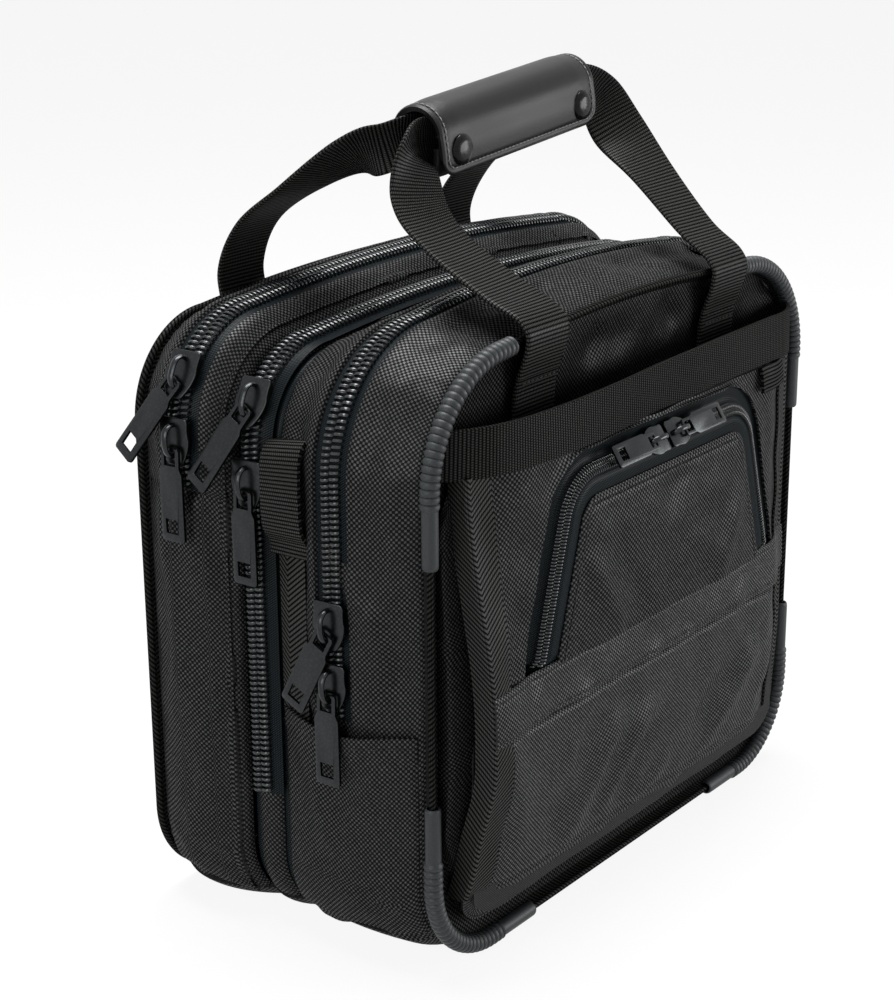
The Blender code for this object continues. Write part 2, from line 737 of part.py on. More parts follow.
def make_pocket(fabric, webbing, coil):
    """The front pocket: side wall, lining, face with its zipped flap, hem strip and the webbing band across its mouth."""
    head = BAND_BOTTOM - CLEARANCE
    outer = pocket_outline(POCKET_HALF - 1, POCKET_FLOOR + 1, POCKET_CORNER, head)
    inset = 1 + POCKET_WALL
    inner = pocket_outline(POCKET_HALF - inset, POCKET_FLOOR + inset, POCKET_CORNER - POCKET_WALL, head)
    wall = outer + inner[::-1]
    near = POCKET_FACE + POCKET_WALL + CLEARANCE
    plate("pocket_wall", wall, near, FRONT_FACE - CLEARANCE, fabric, facing_front)
    gap = inset + CLEARANCE
    lining = pocket_outline(POCKET_HALF - gap, POCKET_FLOOR + gap, POCKET_CORNER - POCKET_WALL, head - 4)
    depth = FRONT_FACE - LINING_DEPTH
    plate("pocket_lining", lining, depth, depth - 1, fabric, facing_front)
    face = pocket_outline(POCKET_HALF, POCKET_FLOOR, POCKET_CORNER, head)
    mesh = loft_mesh("face", [[facing_front(a, b, d) for a, b in face] for d in (POCKET_FACE, POCKET_FACE + POCKET_WALL)])
    tilt = math.radians(POCKET_ZIP_TILT)
    reach = pocket_tape_half() * math.cos(tilt) + CLEARANCE
    lip = TAPE_TOP * POCKET_ZIP_SCALE * math.sin(tilt)
    hole = [(x, z) for x, z, _, _ in flap_route(reach + lip)]
    cut = loft_mesh("hole", [[facing_front(a, b, d) for a, b in hole] for d in (POCKET_FACE - 5, POCKET_FACE + 5)])
    new_object("pocket_face", combined_mesh("pocket_face", mesh, [cut], "DIFFERENCE"), fabric)
    flap_face = POCKET_FACE - FLAP_RISE
    flap = [(x, z) for x, z, _, _ in flap_route(-reach)]
    obj = plate("pocket_flap", flap, flap_face, flap_face + WALL, fabric, facing_front)
    set_origin(obj, (0, flap_face, flap_foot()))
    loops = []
    for x, z, out_x, out_z in flap_route(0.0):
        loops.append(pocket_zip_loop(Vector((x, pocket_zip_y(), z)), Vector((out_x, 0, out_z))))
    loft("pocket_zip", loops, coil)
    hem_near = POCKET_FACE - CLEARANCE
    hem = [(-POCKET_HALF, HEM_BOTTOM), (POCKET_HALF, HEM_BOTTOM)]
    hem += [(POCKET_HALF, HEM_BOTTOM + HEM_HEIGHT), (-POCKET_HALF, HEM_BOTTOM + HEM_HEIGHT)]
    plate("pocket_hem", hem, hem_near, hem_near - BAND_THICK, webbing, facing_front)
    make_band(webbing)


def pocket_tape_half():
    return (CHAIN_HALF + POCKET_TAPE) * POCKET_ZIP_SCALE


def pocket_zip_y():
    return POCKET_FACE - FLAP_RISE / 2


def pocket_zip_axes(out):
    """Lateral and outward directions of the pocket zip, which faces out over the flap's sloping border."""
    tilt = math.radians(POCKET_ZIP_TILT)
    front = Vector((0, -1, 0))
    lateral = out * math.cos(tilt) - front * math.sin(tilt)
    normal = front * math.cos(tilt) + out * math.sin(tilt)
    return lateral, normal


def pocket_zip_loop(centre, out):
    lateral, normal = pocket_zip_axes(out)
    half = pocket_tape_half()
    section = zip_section(half, half, POCKET_ZIP_SCALE)
    return [centre + lateral * s + normal * lift for s, lift in section]


def make_band(webbing):
    """Wide webbing across the pocket's mouth. Its ends turn back to the front panel's edges."""
    turn_back = POCKET_HALF - 6
    back = FRONT_FACE - CLEARANCE - BAND_THICK / 2
    front = POCKET_FACE + BAND_THICK / 2
    route = [(-BAND_END, back), (-turn_back - 4, (back + front) / 2), (-turn_back, front + 2)]
    route += [(-turn_back + 10, front), (0, front)]
    route += [(-x, y) for x, y in reversed(route[:-1])]
    loops = []
    for i, (x, y) in enumerate(route):
        ahead = Vector(route[min(i + 1, len(route) - 1)]) - Vector(route[max(i - 1, 0)])
        side = Vector((-ahead.y, ahead.x)).normalized() * BAND_THICK / 2
        low, high = BAND_BOTTOM, BAND_BOTTOM + BAND_HEIGHT
        loops.append(
            [
                Vector((x + side.x, y + side.y, low)),
                Vector((x - side.x, y - side.y, low)),
                Vector((x - side.x, y - side.y, high)),
                Vector((x + side.x, y + side.y, high)),
            ]
        )
    loft("pocket_band", loops, webbing)


def make_side_trim(fabric, webbing):
    """An open-topped slip pocket low on each side, and a webbing loop over the seam above it."""
    for side, hand in ((LEFT, "left"), (RIGHT, "right")):
        near, far = FRONT_FACE + SIDE_POCKET_INSET, FRONT_DIVIDER_Y - SIDE_POCKET_INSET / 2
        stations = []
        for y in [near] + [y for y in lobe_depths(FRONT) if near + 1 < y < far - 1] + [far]:
            us = side_stations(y, FRONT, side)[1:3] + [side * side_u(SIDE_POCKET_TOP, y, FRONT)]
            stations.append((y, us))
        lift = CLEARANCE + SIDE_POCKET_WALL
        skin_sheet(f"side_pocket_{hand}", stations, FRONT, SIDE_POCKET_WALL, fabric, lift)
        make_loop(f"side_loop_{hand}", side, webbing)


def make_loop(name, side, webbing):
    """A webbing loop sewn at its top and foot, standing off the seam between them."""
    far = MIDDLE_ZIP_Y - SLIDER_HALF - 2 * CLEARANCE
    near = far - LOOP_WIDTH
    rest = lobe_section(near, FRONT)[0] + CLEARANCE
    route = [
        (rest, SIDE_POCKET_TOP + 4),
        (rest, LOOP_FOOT),
        (rest + LOOP_RISE, LOOP_FOOT + 8),
        (rest + LOOP_RISE, LOOP_TOP - 9),
        (rest + LOOP_RISE * 0.7, LOOP_TOP - 3),
        (rest, LOOP_TOP),
    ]
    outline = [(x, z) for x, z in route]
    outline += [(x + LOOP_THICK, z + (1.0 if i < 2 else 0.0)) for i, (x, z) in reversed(list(enumerate(route)))]
    loops = []
    for y in (near, far):
        loops.append([Vector((side * x, y, z)) for x, z in outline])
    loft(name, loops, webbing)


def slider_mesh(scale):
    """A slider: shield-shaped plate with lips over the chain, and an arched bail. x is out, z along the chain."""
    wing = SLIDER_HALF
    half = [(wing - 1.1, 10.5), (wing, 9.0), (wing, 3.0), (wing - 1.2, 0.5)]
    half += [(wing - 0.4, -2.0), (wing - 1.6, -6.5), (wing - 4.1, -10.5)]
    shield = half + [(-y, z) for y, z in reversed(half)]
    top = SLIDER_LIFT + SLIDER_PLATE
    body = loft_mesh("shield", [[Vector((x, y, z)) for y, z in shield] for x in (SLIDER_LIFT, top)])
    parts = []
    for side in (-1, 1):
        lip = []
        for z in (-5.0, 8.0):
            near, far = side * (CHAIN_HALF + 0.9), side * (CHAIN_HALF + 2.2)
            low, high = CHAIN_TOP - 0.5, top - 0.3
            lip.append([Vector((low, near, z)), Vector((low, far, z)), Vector((high, far, z)), Vector((high, near, z))])
        parts.append(loft_mesh("lip", lip))
    rise = top + BAIL_RISE
    arch = [(top - 0.5, 7.5), (rise - 2.7, 7.0), (rise - 0.4, 4.5), (rise, 0.0)]
    hollow = [(rise - 2.0, 0.0), (rise - 2.3, 3.2), (rise - 3.6, 5.0), (top - 0.5, 5.2)]
    ring = arch + [(x, -z) for x, z in reversed(arch[:-1])]
    ring += [(x, -z) for x, z in reversed(hollow[1:])] + hollow
    bail = loft_mesh("bail", [[Vector((x, y, z)) for x, z in ring] for y in (-BAIL_WIDTH / 2, BAIL_WIDTH / 2)])
    mesh = combined_mesh("slider", body, parts + [bail], "UNION")
    mesh.transform(Matrix.Scale(scale, 4))
    return mesh


def pull_mesh(scale):
    """A pull tab hung by the bar of its eye, which lies on the origin. It has a small window near its end."""
    eye, half = PULL_EYE_WIDTH / 2, PULL_WIDTH / 2
    bar = PULL_THICK / 2
    side = [(eye, bar), (eye, -8.5), (half, -10.5), (half, 1.0 - PULL_LENGTH), (half - 1, -PULL_LENGTH)]
    outline = side + [(-y, z) for y, z in reversed(side)]
    body = loft_mesh("tab", [[Vector((x, y, z)) for y, z in outline] for x in (-bar, bar)])
    cuts = []
    window = 6.2 - PULL_LENGTH
    for half_hole, high, low in ((3.25, -bar, -7.2), (2.6, window + 2.7, window - 2.7)):
        hole = [(half_hole, high), (half_hole, low), (-half_hole, low), (-half_hole, high)]
        cuts.append(loft_mesh("hole", [[Vector((x, y, z)) for y, z in hole] for x in (-3.0, 3.0)]))
    mesh = combined_mesh("pull", body, cuts, "DIFFERENCE")
    mesh.transform(Matrix.Scale(scale, 4))
    return mesh


def add_slider(name, mesh, frame, metal):
    obj = new_object(name, mesh.copy(), metal)
    obj.matrix_world = frame
    return obj


def add_pull(name, mesh, slider_frame, tilt, lean, scale, metal):
    """Hangs a pull tab in its slider's bail: tilt turns it sideways, lean lifts it off the bag."""
    rise = (SLIDER_LIFT + SLIDER_PLATE + PIVOT_RISE) * scale * MM
    pivot = Matrix.Translation((rise, 0, -PIVOT_BACK * scale * MM))
    turn = Matrix.Rotation(math.radians(-tilt), 4, "X") @ Matrix.Rotation(math.radians(-lean), 4, "Y")
    obj = new_object(name, mesh.copy(), metal)
    obj.matrix_world = slider_frame @ pivot @ turn
    return obj


def side_frame(y, z, lobe):
    """Frame of a slider on the left side: x out of the bag, z up the chain."""
    half = lobe_section(y, lobe)[0]
    place = Matrix.Translation(Vector((-half, y, z)) * MM)
    return place @ Matrix.Rotation(math.pi, 4, "Z")


def bend_frame(y, lobe, turn):
    """Frame of a slider on the bend of the left upper corner, turned up from the side by turn degrees."""
    half, top, radius, bottom = lobe_section(y, lobe)
    centre = Matrix.Translation(Vector((radius - half, y, top - CROWN - radius)) * MM)
    swing = Matrix.Rotation(math.radians(turn), 4, "Y")
    reach = Matrix.Translation((-radius * MM, 0, 0))
    return centre @ swing @ reach @ Matrix.Rotation(math.pi, 4, "Z")


def pocket_slider_frame(x, points_left):
    """Frame of a pocket slider: x along the zip's outward direction, z along the chain, away from its pull."""
    lateral, normal = pocket_zip_axes(Vector((0, 0, 1)))
    along = Vector((1, 0, 0)) if points_left else Vector((-1, 0, 0))
    across = along.cross(normal)
    frame = Matrix((normal, across, along)).transposed().to_4x4()
    frame.translation = Vector((x, pocket_zip_y(), FLAP_TOP)) * MM
    return frame


def make_sliders(metal):
    slider, pull = slider_mesh(1.0), pull_mesh(1.0)
    upper_z, lower_z = FRONT_SLIDERS_Z
    places = (
        ("front_upper", side_frame(FRONT_ZIP_Y, upper_z, FRONT), UPPER_PULL_TILT, 0.0),
        ("front_lower", side_frame(FRONT_ZIP_Y, lower_z, FRONT), 0.0, 0.0),
        ("middle_upper", bend_frame(MIDDLE_ZIP_Y, MIDDLE, MIDDLE_SLIDER_TURN), UPPER_PULL_TILT, MIDDLE_PULL_LEAN),
        ("middle_lower", side_frame(MIDDLE_ZIP_Y, MIDDLE_SLIDER_Z, MIDDLE), 0.0, 0.0),
        ("rear_upper", bend_frame(REAR_ZIP_Y, REAR, REAR_SLIDER_TURN), REAR_PULL_TILT, REAR_PULL_LEAN),
        ("rear_lower", side_frame(REAR_ZIP_Y, REAR_SLIDER_Z, REAR), 0.0, 0.0),
    )
    for name, frame, tilt, lean in places:
        add_slider(f"slider_{name}", slider, frame, metal)
        add_pull(f"pull_{name}", pull, frame, tilt, lean, 1.0, metal)
    small_slider, small_pull = slider_mesh(POCKET_ZIP_SCALE), pull_mesh(POCKET_ZIP_SCALE)
    for name, x, points_left in (
        ("pocket_left", POCKET_SLIDERS_X[0], True),
        ("pocket_right", POCKET_SLIDERS_X[1], False),
    ):
        frame = pocket_slider_frame(x, points_left)
        add_slider(f"slider_{name}", small_slider, frame, metal)
        add_pull(f"pull_{name}", small_pull, frame, 0.0, 0.0, POCKET_ZIP_SCALE, metal)


def smooth_route(points, count):
    """Points along a Catmull-Rom curve through the given points."""
    ends = [points[0] * 2 - points[1]] + points + [points[-1] * 2 - points[-2]]
    route = []
    for i in range(1, len(ends) - 2):
        before, start, end, after = ends[i - 1 : i + 3]
        for k in range(count):
            t = k / count
            a = (end - before) * 0.5
            b = before - start * 2.5 + end * 2 - after * 0.5
            c = (start - end) * 1.5 + (after - before) * 0.5
            route.append(start + (a + (b + c * t) * t) * t)
    return route + [points[-1]]


def strap(name, stations, material):
    """Flat webbing through stations of a point, the direction of its width and the share of the width that lies flat."""
    points = smooth_route([Vector(station[0]) for station in stations], 3)
    widths = smooth_route([Vector(station[1]).normalized() * station[2] for station in stations], 3)
    loops = []
    for i, (point, width) in enumerate(zip(points, widths)):
        run = points[min(i + 1, len(points) - 1)] - points[max(i - 1, 0)]
        run.normalize()
        share = width.length
        width = (width - run * width.dot(run)).normalized() * share * WEBBING / 2
        thick = run.cross(width).normalized() * WEBBING_THICK / 2
        loops.append([point + width + thick, point - width + thick, point - width - thick, point + width - thick])
    loft(name, loops, material)


def grip_station(x, y):
    """A webbing station inside the grip, x along it and y behind its centre. The webbing is folded narrower there."""
    tilt = math.radians(GRIP_TILT)
    cx, cy, cz = GRIP_CENTRE
    point = (cx + x * math.cos(tilt), cy + y, cz + x * math.sin(tilt) + GRIP_WEBBING_RISE)
    return point, (math.sin(tilt), 0, -math.cos(tilt)), GRIP_FOLD


def strap_height(share):
    """Height of a strap point, as a share of the way from the bag's top up to the grip."""
    return HEIGHT + (GRIP_CENTRE[2] - HEIGHT) * share


def make_straps(webbing):
    """Two webbing loops: sewn to the front and rear panels, and held together by the grip."""
    right, left = (1, 0, 0), (-1, 0, 0)
    sewn = FRONT_FACE - CLEARANCE - WEBBING_THICK / 2
    over = FRONT_SEAM_Y - PIPE_RADIUS - CLEARANCE - WEBBING_THICK
    brim = HEIGHT - BRIM_DROP
    slack = WEBBING_THICK * 2.3
    end = GRIP_LENGTH / 2
    inside = end - WEBBING_THICK * 0.9
    fx, fy = FRONT_STRAP_X, FRONT_SEAM_Y
    front = [
        ((-fx, sewn, brim - STRAP_SEWN - FRONT_STRAP_TAIL), right, 1),
        ((-fx, sewn, brim - STRAP_SEWN), right, 1),
        ((-fx, sewn - CLEARANCE, brim - STRAP_SEWN / 2), right, 1),
        ((-fx, over, brim - slack), right, 1),
        ((-fx, over + slack * 0.8, brim + slack), right, 1),
        ((-fx, fy * 0.753, strap_height(0.18)), (1, 0.1, 0.1), 1),
        ((-fx * 1.013, fy * 0.39, strap_height(0.418)), (1, 0.3, -0.1), 0.95),
        ((-fx, fy * 0.182, strap_height(0.657)), (0.8, 0.5, -0.4), 0.9),
        ((-fx * 0.909, fy * 0.104, strap_height(0.955)), (0.3, 0.2, -0.9), 0.7),
        grip_station(-inside, -GRIP_PITCH),
        grip_station(-end / 2, -GRIP_PITCH),
        grip_station(end / 2, -GRIP_PITCH),
        grip_station(inside, -GRIP_PITCH),
        ((fx * 0.948, fy * 0.117, strap_height(1.085)), (-0.3, 0.2, -0.9), 0.7),
        ((fx * 1.013, fy * 0.221, strap_height(0.851)), (-0.8, 0.4, -0.4), 0.9),
        ((fx * 1.013, fy * 0.468, strap_height(0.582)), (-1, 0.2, 0), 1),
        ((fx, fy * 0.805, strap_height(0.224)), left, 1),
        ((fx, over + slack * 0.6, brim + slack), left, 1),
        ((fx, over, brim - slack), left, 1),
        ((fx, sewn - CLEARANCE, brim - STRAP_SEWN / 2), left, 1),
        ((fx, sewn, brim - STRAP_SEWN), left, 1),
        ((fx, sewn, brim - STRAP_SEWN - FRONT_STRAP_TAIL), left, 1),
    ]
    strap("front_handle", front, webbing)
    outer = REAR_FACE + PANEL + CLEARANCE + WEBBING_THICK / 2
    rx, ry = REAR_STRAP_X, REAR_FACE
    rear = [
        ((-rx, outer, brim - STRAP_SEWN - REAR_STRAP_TAIL), right, 1),
        ((-rx, outer, brim - STRAP_SEWN), right, 1),
        ((-rx, outer + CLEARANCE, brim - STRAP_SEWN * 0.27), right, 1),
        ((-rx, outer + WEBBING_THICK, brim + slack * 1.6), right, 1),
        ((-rx, ry * 0.925, strap_height(0.418)), right, 1),
        ((-rx * 0.988, ry * 0.6, strap_height(0.687)), (1, -0.2, 0), 1),
        ((-rx * 0.951, ry * 0.3, strap_height(0.896)), (0.8, -0.5, -0.2), 0.9),
        ((-rx * 0.854, ry * 0.125, strap_height(0.965)), (0.3, -0.2, -0.9), 0.66),
        grip_station(-inside, GRIP_PITCH),
        grip_station(-end / 2, GRIP_PITCH),
        grip_station(end / 2, GRIP_PITCH),
        grip_station(inside, GRIP_PITCH),
        ((rx * 0.89, ry * 0.125, strap_height(1.095)), (-0.3, -0.2, -0.9), 0.7),
        ((rx * 0.976, ry * 0.325, strap_height(0.955)), (-0.8, -0.4, -0.3), 0.9),
        ((rx, ry * 0.6, strap_height(0.731)), (-1, -0.2, 0), 1),
        ((rx, ry * 0.925, strap_height(0.418)), left, 1),
        ((rx, outer + WEBBING_THICK, brim + slack * 1.6), left, 1),
        ((rx, outer + CLEARANCE, brim - STRAP_SEWN * 0.27), left, 1),
        ((rx, outer, brim - STRAP_SEWN), left, 1),
        ((rx, outer, brim - STRAP_SEWN - REAR_STRAP_TAIL), left, 1),
    ]
    strap("rear_handle", rear, webbing)


def arc_points(centre, radius, start, end, count):
    points = []
    for turn in steps(math.radians(start), math.radians(end), count):
        points.append((centre[0] + radius * math.cos(turn), centre[1] + radius * math.sin(turn)))
    return points


def grip_frame():
    place = Matrix.Translation(Vector(GRIP_CENTRE) * MM)
    return place @ Matrix.Rotation(math.radians(-GRIP_TILT), 4, "Y")


def make_grip(leather, metal):
    """A leather wrap that goes over, behind and under the webbing, and a front flap that snaps down over its end."""
    half = GRIP_LENGTH / 2
    crease = GRIP_CREASE
    inner = GRIP_RADIUS - GRIP_LEATHER
    tuck = GRIP_LEATHER + CLEARANCE
    under_outer = (GRIP_RADIUS * 2 - tuck) / 2
    under_centre = (tuck / 2, under_outer - GRIP_UNDER)
    outside = arc_points((0, crease), GRIP_RADIUS, 180, 0, 8)
    outside += arc_points(under_centre, under_outer, 0, -180, 8)
    tongue = (-GRIP_RADIUS + tuck, 3.0)
    inside = [(tongue[0] + GRIP_LEATHER, 3.0)]
    inside += arc_points(under_centre, under_outer - GRIP_LEATHER, -180, 0, 8)
    inside += arc_points((0, crease), inner, 0, 180, 8)
    section = outside + [tongue] + inside
    wrap_loops = [[Vector((x, y, z)) for y, z in section] for x in (-half, half)]
    wrap = loft("grip_wrap", wrap_loops, leather)
    wrap.matrix_world = grip_frame()
    corner = 9.0
    foot = -GRIP_DROP
    head = crease - CLEARANCE
    outline = [(-half, head)]
    outline += arc_points((-half + corner, foot + corner), corner, 180, 270, 4)
    outline += arc_points((half - corner, foot + corner), corner, 270, 360, 4)
    outline += [(half, head)]
    loops = [[Vector((x, y, z)) for x, z in outline] for y in (-GRIP_RADIUS, -inner)]
    flap = loft("grip_flap", loops, leather)
    set_origin(flap, (0, -GRIP_RADIUS, crease))
    flap.matrix_world = grip_frame() @ Matrix.Translation((0, -GRIP_RADIUS * MM, crease * MM))
    for name, side in (("snap_cap_left", LEFT), ("snap_cap_right", RIGHT)):
        add_cap(name, side * (half - CAP_INSET), foot + CAP_HEIGHT, metal)


def add_cap(name, x, z, metal):
    """A domed snap cap, seated on the flap's outer face."""
    profile = ((1.0, 0.0), (1.0, 0.35), (0.86, 0.7), (0.5, 0.95), (0.15, 1.0))
    loops = []
    for across, rise in profile:
        ring = []
        for i in range(12):
            turn = math.tau * i / 12
            y = -GRIP_RADIUS - CLEARANCE - CAP_RISE * rise
            ring.append(Vector((x + CAP_RADIUS * across * math.cos(turn), y, z + CAP_RADIUS * across * math.sin(turn))))
        loops.append(ring)
    cap = loft(name, loops, metal)
    cap.matrix_world = grip_frame()


def main():
    clear_scene()
    fabric = make_material("ballistic_nylon", (0.022, 0.022, 0.023), 0.8)
    board = make_material("divider_board", (0.03, 0.03, 0.032), 0.85)
    webbing = make_material("webbing", (0.03, 0.03, 0.03), 0.75)
    coil = make_material("zip_coil", (0.03, 0.034, 0.038), 0.35)
    rubber = make_material("guard_rubber", (0.045, 0.05, 0.055), 0.55)
    leather = make_material("grip_leather", (0.02, 0.02, 0.021), 0.4)
    metal = make_material("gunmetal", (0.06, 0.058, 0.056), 0.35, 1.0)
    make_panels(fabric, board)
    make_base(fabric)
    make_gussets(fabric)
    make_top(fabric)
    make_zips(coil)
    make_piping(webbing)
    make_guards(rubber)
    make_pocket(fabric, webbing, coil)
    make_side_trim(fabric, webbing)
    make_sliders(metal)
    make_straps(webbing)
    make_grip(leather, metal)


main()
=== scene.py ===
# %% [markdown]
# # A soft flight bag, dressed in Blender
# The imported model gives the bag's frame: stiff solids that stand where every part belongs.
# Here each soft solid gets a finer piece of cloth, webbing, leather, rubber or metal in its place.
# The frame is loaded first.

# %% Load the frame
import json
import math
from functools import partial

import bpy
import numpy as np
from mathutils import Matrix, Vector

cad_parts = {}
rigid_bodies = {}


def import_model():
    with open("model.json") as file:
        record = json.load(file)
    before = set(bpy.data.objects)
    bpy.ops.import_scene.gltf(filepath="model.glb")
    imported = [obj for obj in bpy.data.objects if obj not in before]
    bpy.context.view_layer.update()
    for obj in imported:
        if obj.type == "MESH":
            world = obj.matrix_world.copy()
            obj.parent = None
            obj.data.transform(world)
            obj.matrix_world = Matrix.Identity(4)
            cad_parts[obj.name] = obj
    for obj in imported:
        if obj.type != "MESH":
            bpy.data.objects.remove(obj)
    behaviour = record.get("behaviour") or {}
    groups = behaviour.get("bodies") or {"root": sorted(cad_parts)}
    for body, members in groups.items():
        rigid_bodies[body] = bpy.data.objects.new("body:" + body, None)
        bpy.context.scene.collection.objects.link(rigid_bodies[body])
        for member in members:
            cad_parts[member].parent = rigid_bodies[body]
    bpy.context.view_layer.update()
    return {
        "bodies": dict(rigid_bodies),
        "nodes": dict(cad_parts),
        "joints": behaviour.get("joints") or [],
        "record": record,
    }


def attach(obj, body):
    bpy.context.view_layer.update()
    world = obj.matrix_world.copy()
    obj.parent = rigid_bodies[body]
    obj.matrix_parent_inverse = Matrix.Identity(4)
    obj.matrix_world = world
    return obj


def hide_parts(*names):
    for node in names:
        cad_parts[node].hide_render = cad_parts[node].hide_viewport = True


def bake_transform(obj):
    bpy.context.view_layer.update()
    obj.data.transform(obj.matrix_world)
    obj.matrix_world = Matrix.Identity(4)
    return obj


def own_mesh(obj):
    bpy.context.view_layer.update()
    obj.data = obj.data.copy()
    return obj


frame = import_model()
for name in ("Cube", "Camera", "Light"):
    if name in bpy.data.objects:
        bpy.data.objects.remove(bpy.data.objects[name], do_unlink=True)

# %% [markdown]
# ## Studio
# The photograph is a product shot on white: a long lens, a little above the bag's front left edge.
# The camera is placed by its direction and distance from the bag's middle.
# A small shift of the lens then frames the bag as the photograph does.

# %% Camera
TARGET = Vector((0.0, 0.0, 0.140))
AZIMUTH, ELEVATION = math.radians(-54.5), math.radians(19.5)
DISTANCE, LENS, SHIFT = 1.096, 80.2, (-0.0489, 0.0573)
level = math.cos(ELEVATION)
back = Vector((math.sin(AZIMUTH) * level, -math.cos(AZIMUTH) * level, math.sin(ELEVATION)))
camera_data = bpy.data.cameras.new("studio_camera")
camera_data.lens = LENS
camera_data.shift_x, camera_data.shift_y = SHIFT
camera = bpy.data.objects.new("studio_camera", camera_data)
camera.location = TARGET + back * DISTANCE
camera.rotation_euler = back.to_track_quat("Z", "Y").to_euler()
bpy.context.scene.collection.objects.link(camera)
bpy.context.scene.camera = camera
bpy.context.scene.view_settings.view_transform = "Standard"
print("camera at", [round(v, 3) for v in camera.location])

# %% [markdown]
# Materials and the world are wired from nodes, and two helpers keep the wiring readable.
# One sets or links a socket, and the other adds a Math node.


# %% Node helpers
def wire(tree, value, socket):
    if isinstance(value, bpy.types.NodeSocket):
        tree.links.new(value, socket)
    else:
        socket.default_value = value


def calc(tree, operation, *values):
    node = tree.nodes.new("ShaderNodeMath")
    node.operation = operation
    for value, socket in zip(values, node.inputs):
        wire(tree, value, socket)
    return node.outputs[0]


print("node helpers ready")

# %% [markdown]
# The floor is plain white paper that keeps a faint shadow.
# Light Path tells the rays of the camera, of mirrors and of glass from the rays that carry light.
# So the paper can look white without pouring extra light on a black bag.

# %% Floor and world
FLOOR_SIZE, PAPER_TONE, PAPER_GLOW, WORLD_LIGHT = 12.0, 0.86, 0.9, 0.19


def seen_directly(tree):
    """One where the ray comes from the camera, a mirror or glass."""
    path = tree.nodes.new("ShaderNodeLightPath").outputs
    seen = calc(tree, "ADD", path["Is Camera Ray"], path["Is Glossy Ray"])
    seen = calc(tree, "ADD", seen, path["Is Transmission Ray"])
    seen.node.use_clamp = True
    return seen


def paper_material():
    material = bpy.data.materials.new("studio_paper")
    material.use_nodes = True
    tree = material.node_tree
    tree.nodes.clear()
    out = tree.nodes.new("ShaderNodeOutputMaterial")
    mix = tree.nodes.new("ShaderNodeMixShader")
    matt = tree.nodes.new("ShaderNodeBsdfDiffuse")
    matt.inputs["Color"].default_value = (PAPER_TONE, PAPER_TONE, PAPER_TONE, 1)
    glow = tree.nodes.new("ShaderNodeEmission")
    wire(tree, calc(tree, "MULTIPLY", seen_directly(tree), PAPER_GLOW), mix.inputs[0])
    wire(tree, matt.outputs[0], mix.inputs[1])
    wire(tree, glow.outputs[0], mix.inputs[2])
    wire(tree, mix.outputs[0], out.inputs["Surface"])
    return material


bpy.ops.object.select_all(action="DESELECT")
bpy.ops.mesh.primitive_plane_add(size=FLOOR_SIZE)
floor = bpy.context.object
floor.name = "studio_floor"
floor.data.materials.append(paper_material())

world = bpy.data.worlds.new("studio_world")
bpy.context.scene.world = world
world.use_nodes = True
world_tree = world.node_tree
backdrop = world_tree.nodes["Background"]
backdrop.inputs["Color"].default_value = (1, 1, 1, 1)
strength = world_tree.nodes.new("ShaderNodeMapRange")
strength.inputs["To Min"].default_value = WORLD_LIGHT
strength.inputs["To Max"].default_value = 1.0
wire(world_tree, seen_directly(world_tree), strength.inputs["Value"])
wire(world_tree, strength.outputs["Result"], backdrop.inputs["Strength"])
print("floor and world ready")

# %% [markdown]
# Three softboxes light the bag. The key stands low on the right and draws out the weave of the front.
# One on the left opens up the dark side, and a strong one above lights the top and the grip.


# %% Lamps
def softbox(name, place, aim, size, power):
    data = bpy.data.lights.new(name, "AREA")
    data.shape = "RECTANGLE"
    data.size, data.size_y = size
    data.energy = power
    lamp = bpy.data.objects.new(name, data)
    lamp.location = place
    lamp.rotation_euler = (Vector(place) - Vector(aim)).to_track_quat("Z", "Y").to_euler()
    bpy.context.scene.collection.objects.link(lamp)


softbox("key_softbox", (0.90, -1.15, 0.30), (0, -0.05, 0.08), (0.9, 0.5), 13)
softbox("side_softbox", (-1.7, -0.1, 0.7), (0, 0, 0.15), (0.9, 1.2), 15)
softbox("top_softbox", (0.1, 0.2, 1.7), (0, 0, 0.2), (1.2, 0.8), 52)
print("three softboxes")

# %% [markdown]
# ## Finishes
# Every finish on this bag is a pattern of threads, ribs or grain, so each pattern is built once.
# It is a node group that takes a place on the cloth, in metres, and gives back a height and a tone.

# %% Pattern helpers
VECTOR, NUMBER = "NodeSocketVector", "NodeSocketFloat"


def new_group(name, inputs, outputs):
    group = bpy.data.node_groups.new(name, "ShaderNodeTree")
    for label, kind, value in [("Place", VECTOR, None)] + inputs:
        socket = group.interface.new_socket(label, in_out="INPUT", socket_type=kind)
        if value is not None:
            socket.default_value = value
    for label in outputs:
        group.interface.new_socket(label, in_out="OUTPUT", socket_type="NodeSocketFloat")
    return group, group.nodes.new("NodeGroupInput"), group.nodes.new("NodeGroupOutput")


def split_place(group, start):
    split = group.nodes.new("ShaderNodeSeparateXYZ")
    wire(group, start.outputs["Place"], split.inputs[0])
    return split.outputs[0], split.outputs[1]


def half_waves(group, value):
    return calc(group, "SINE", calc(group, "MULTIPLY", value, math.pi))


print("pattern helpers ready")

# %% [markdown]
# The bag's cloth is heavy nylon in a basket weave.
# Small pillows of thread pass over and under each other like a chessboard, and two sine waves give the board.
# The light catches one set of threads far more than the other, which gives the cloth its pale dots.


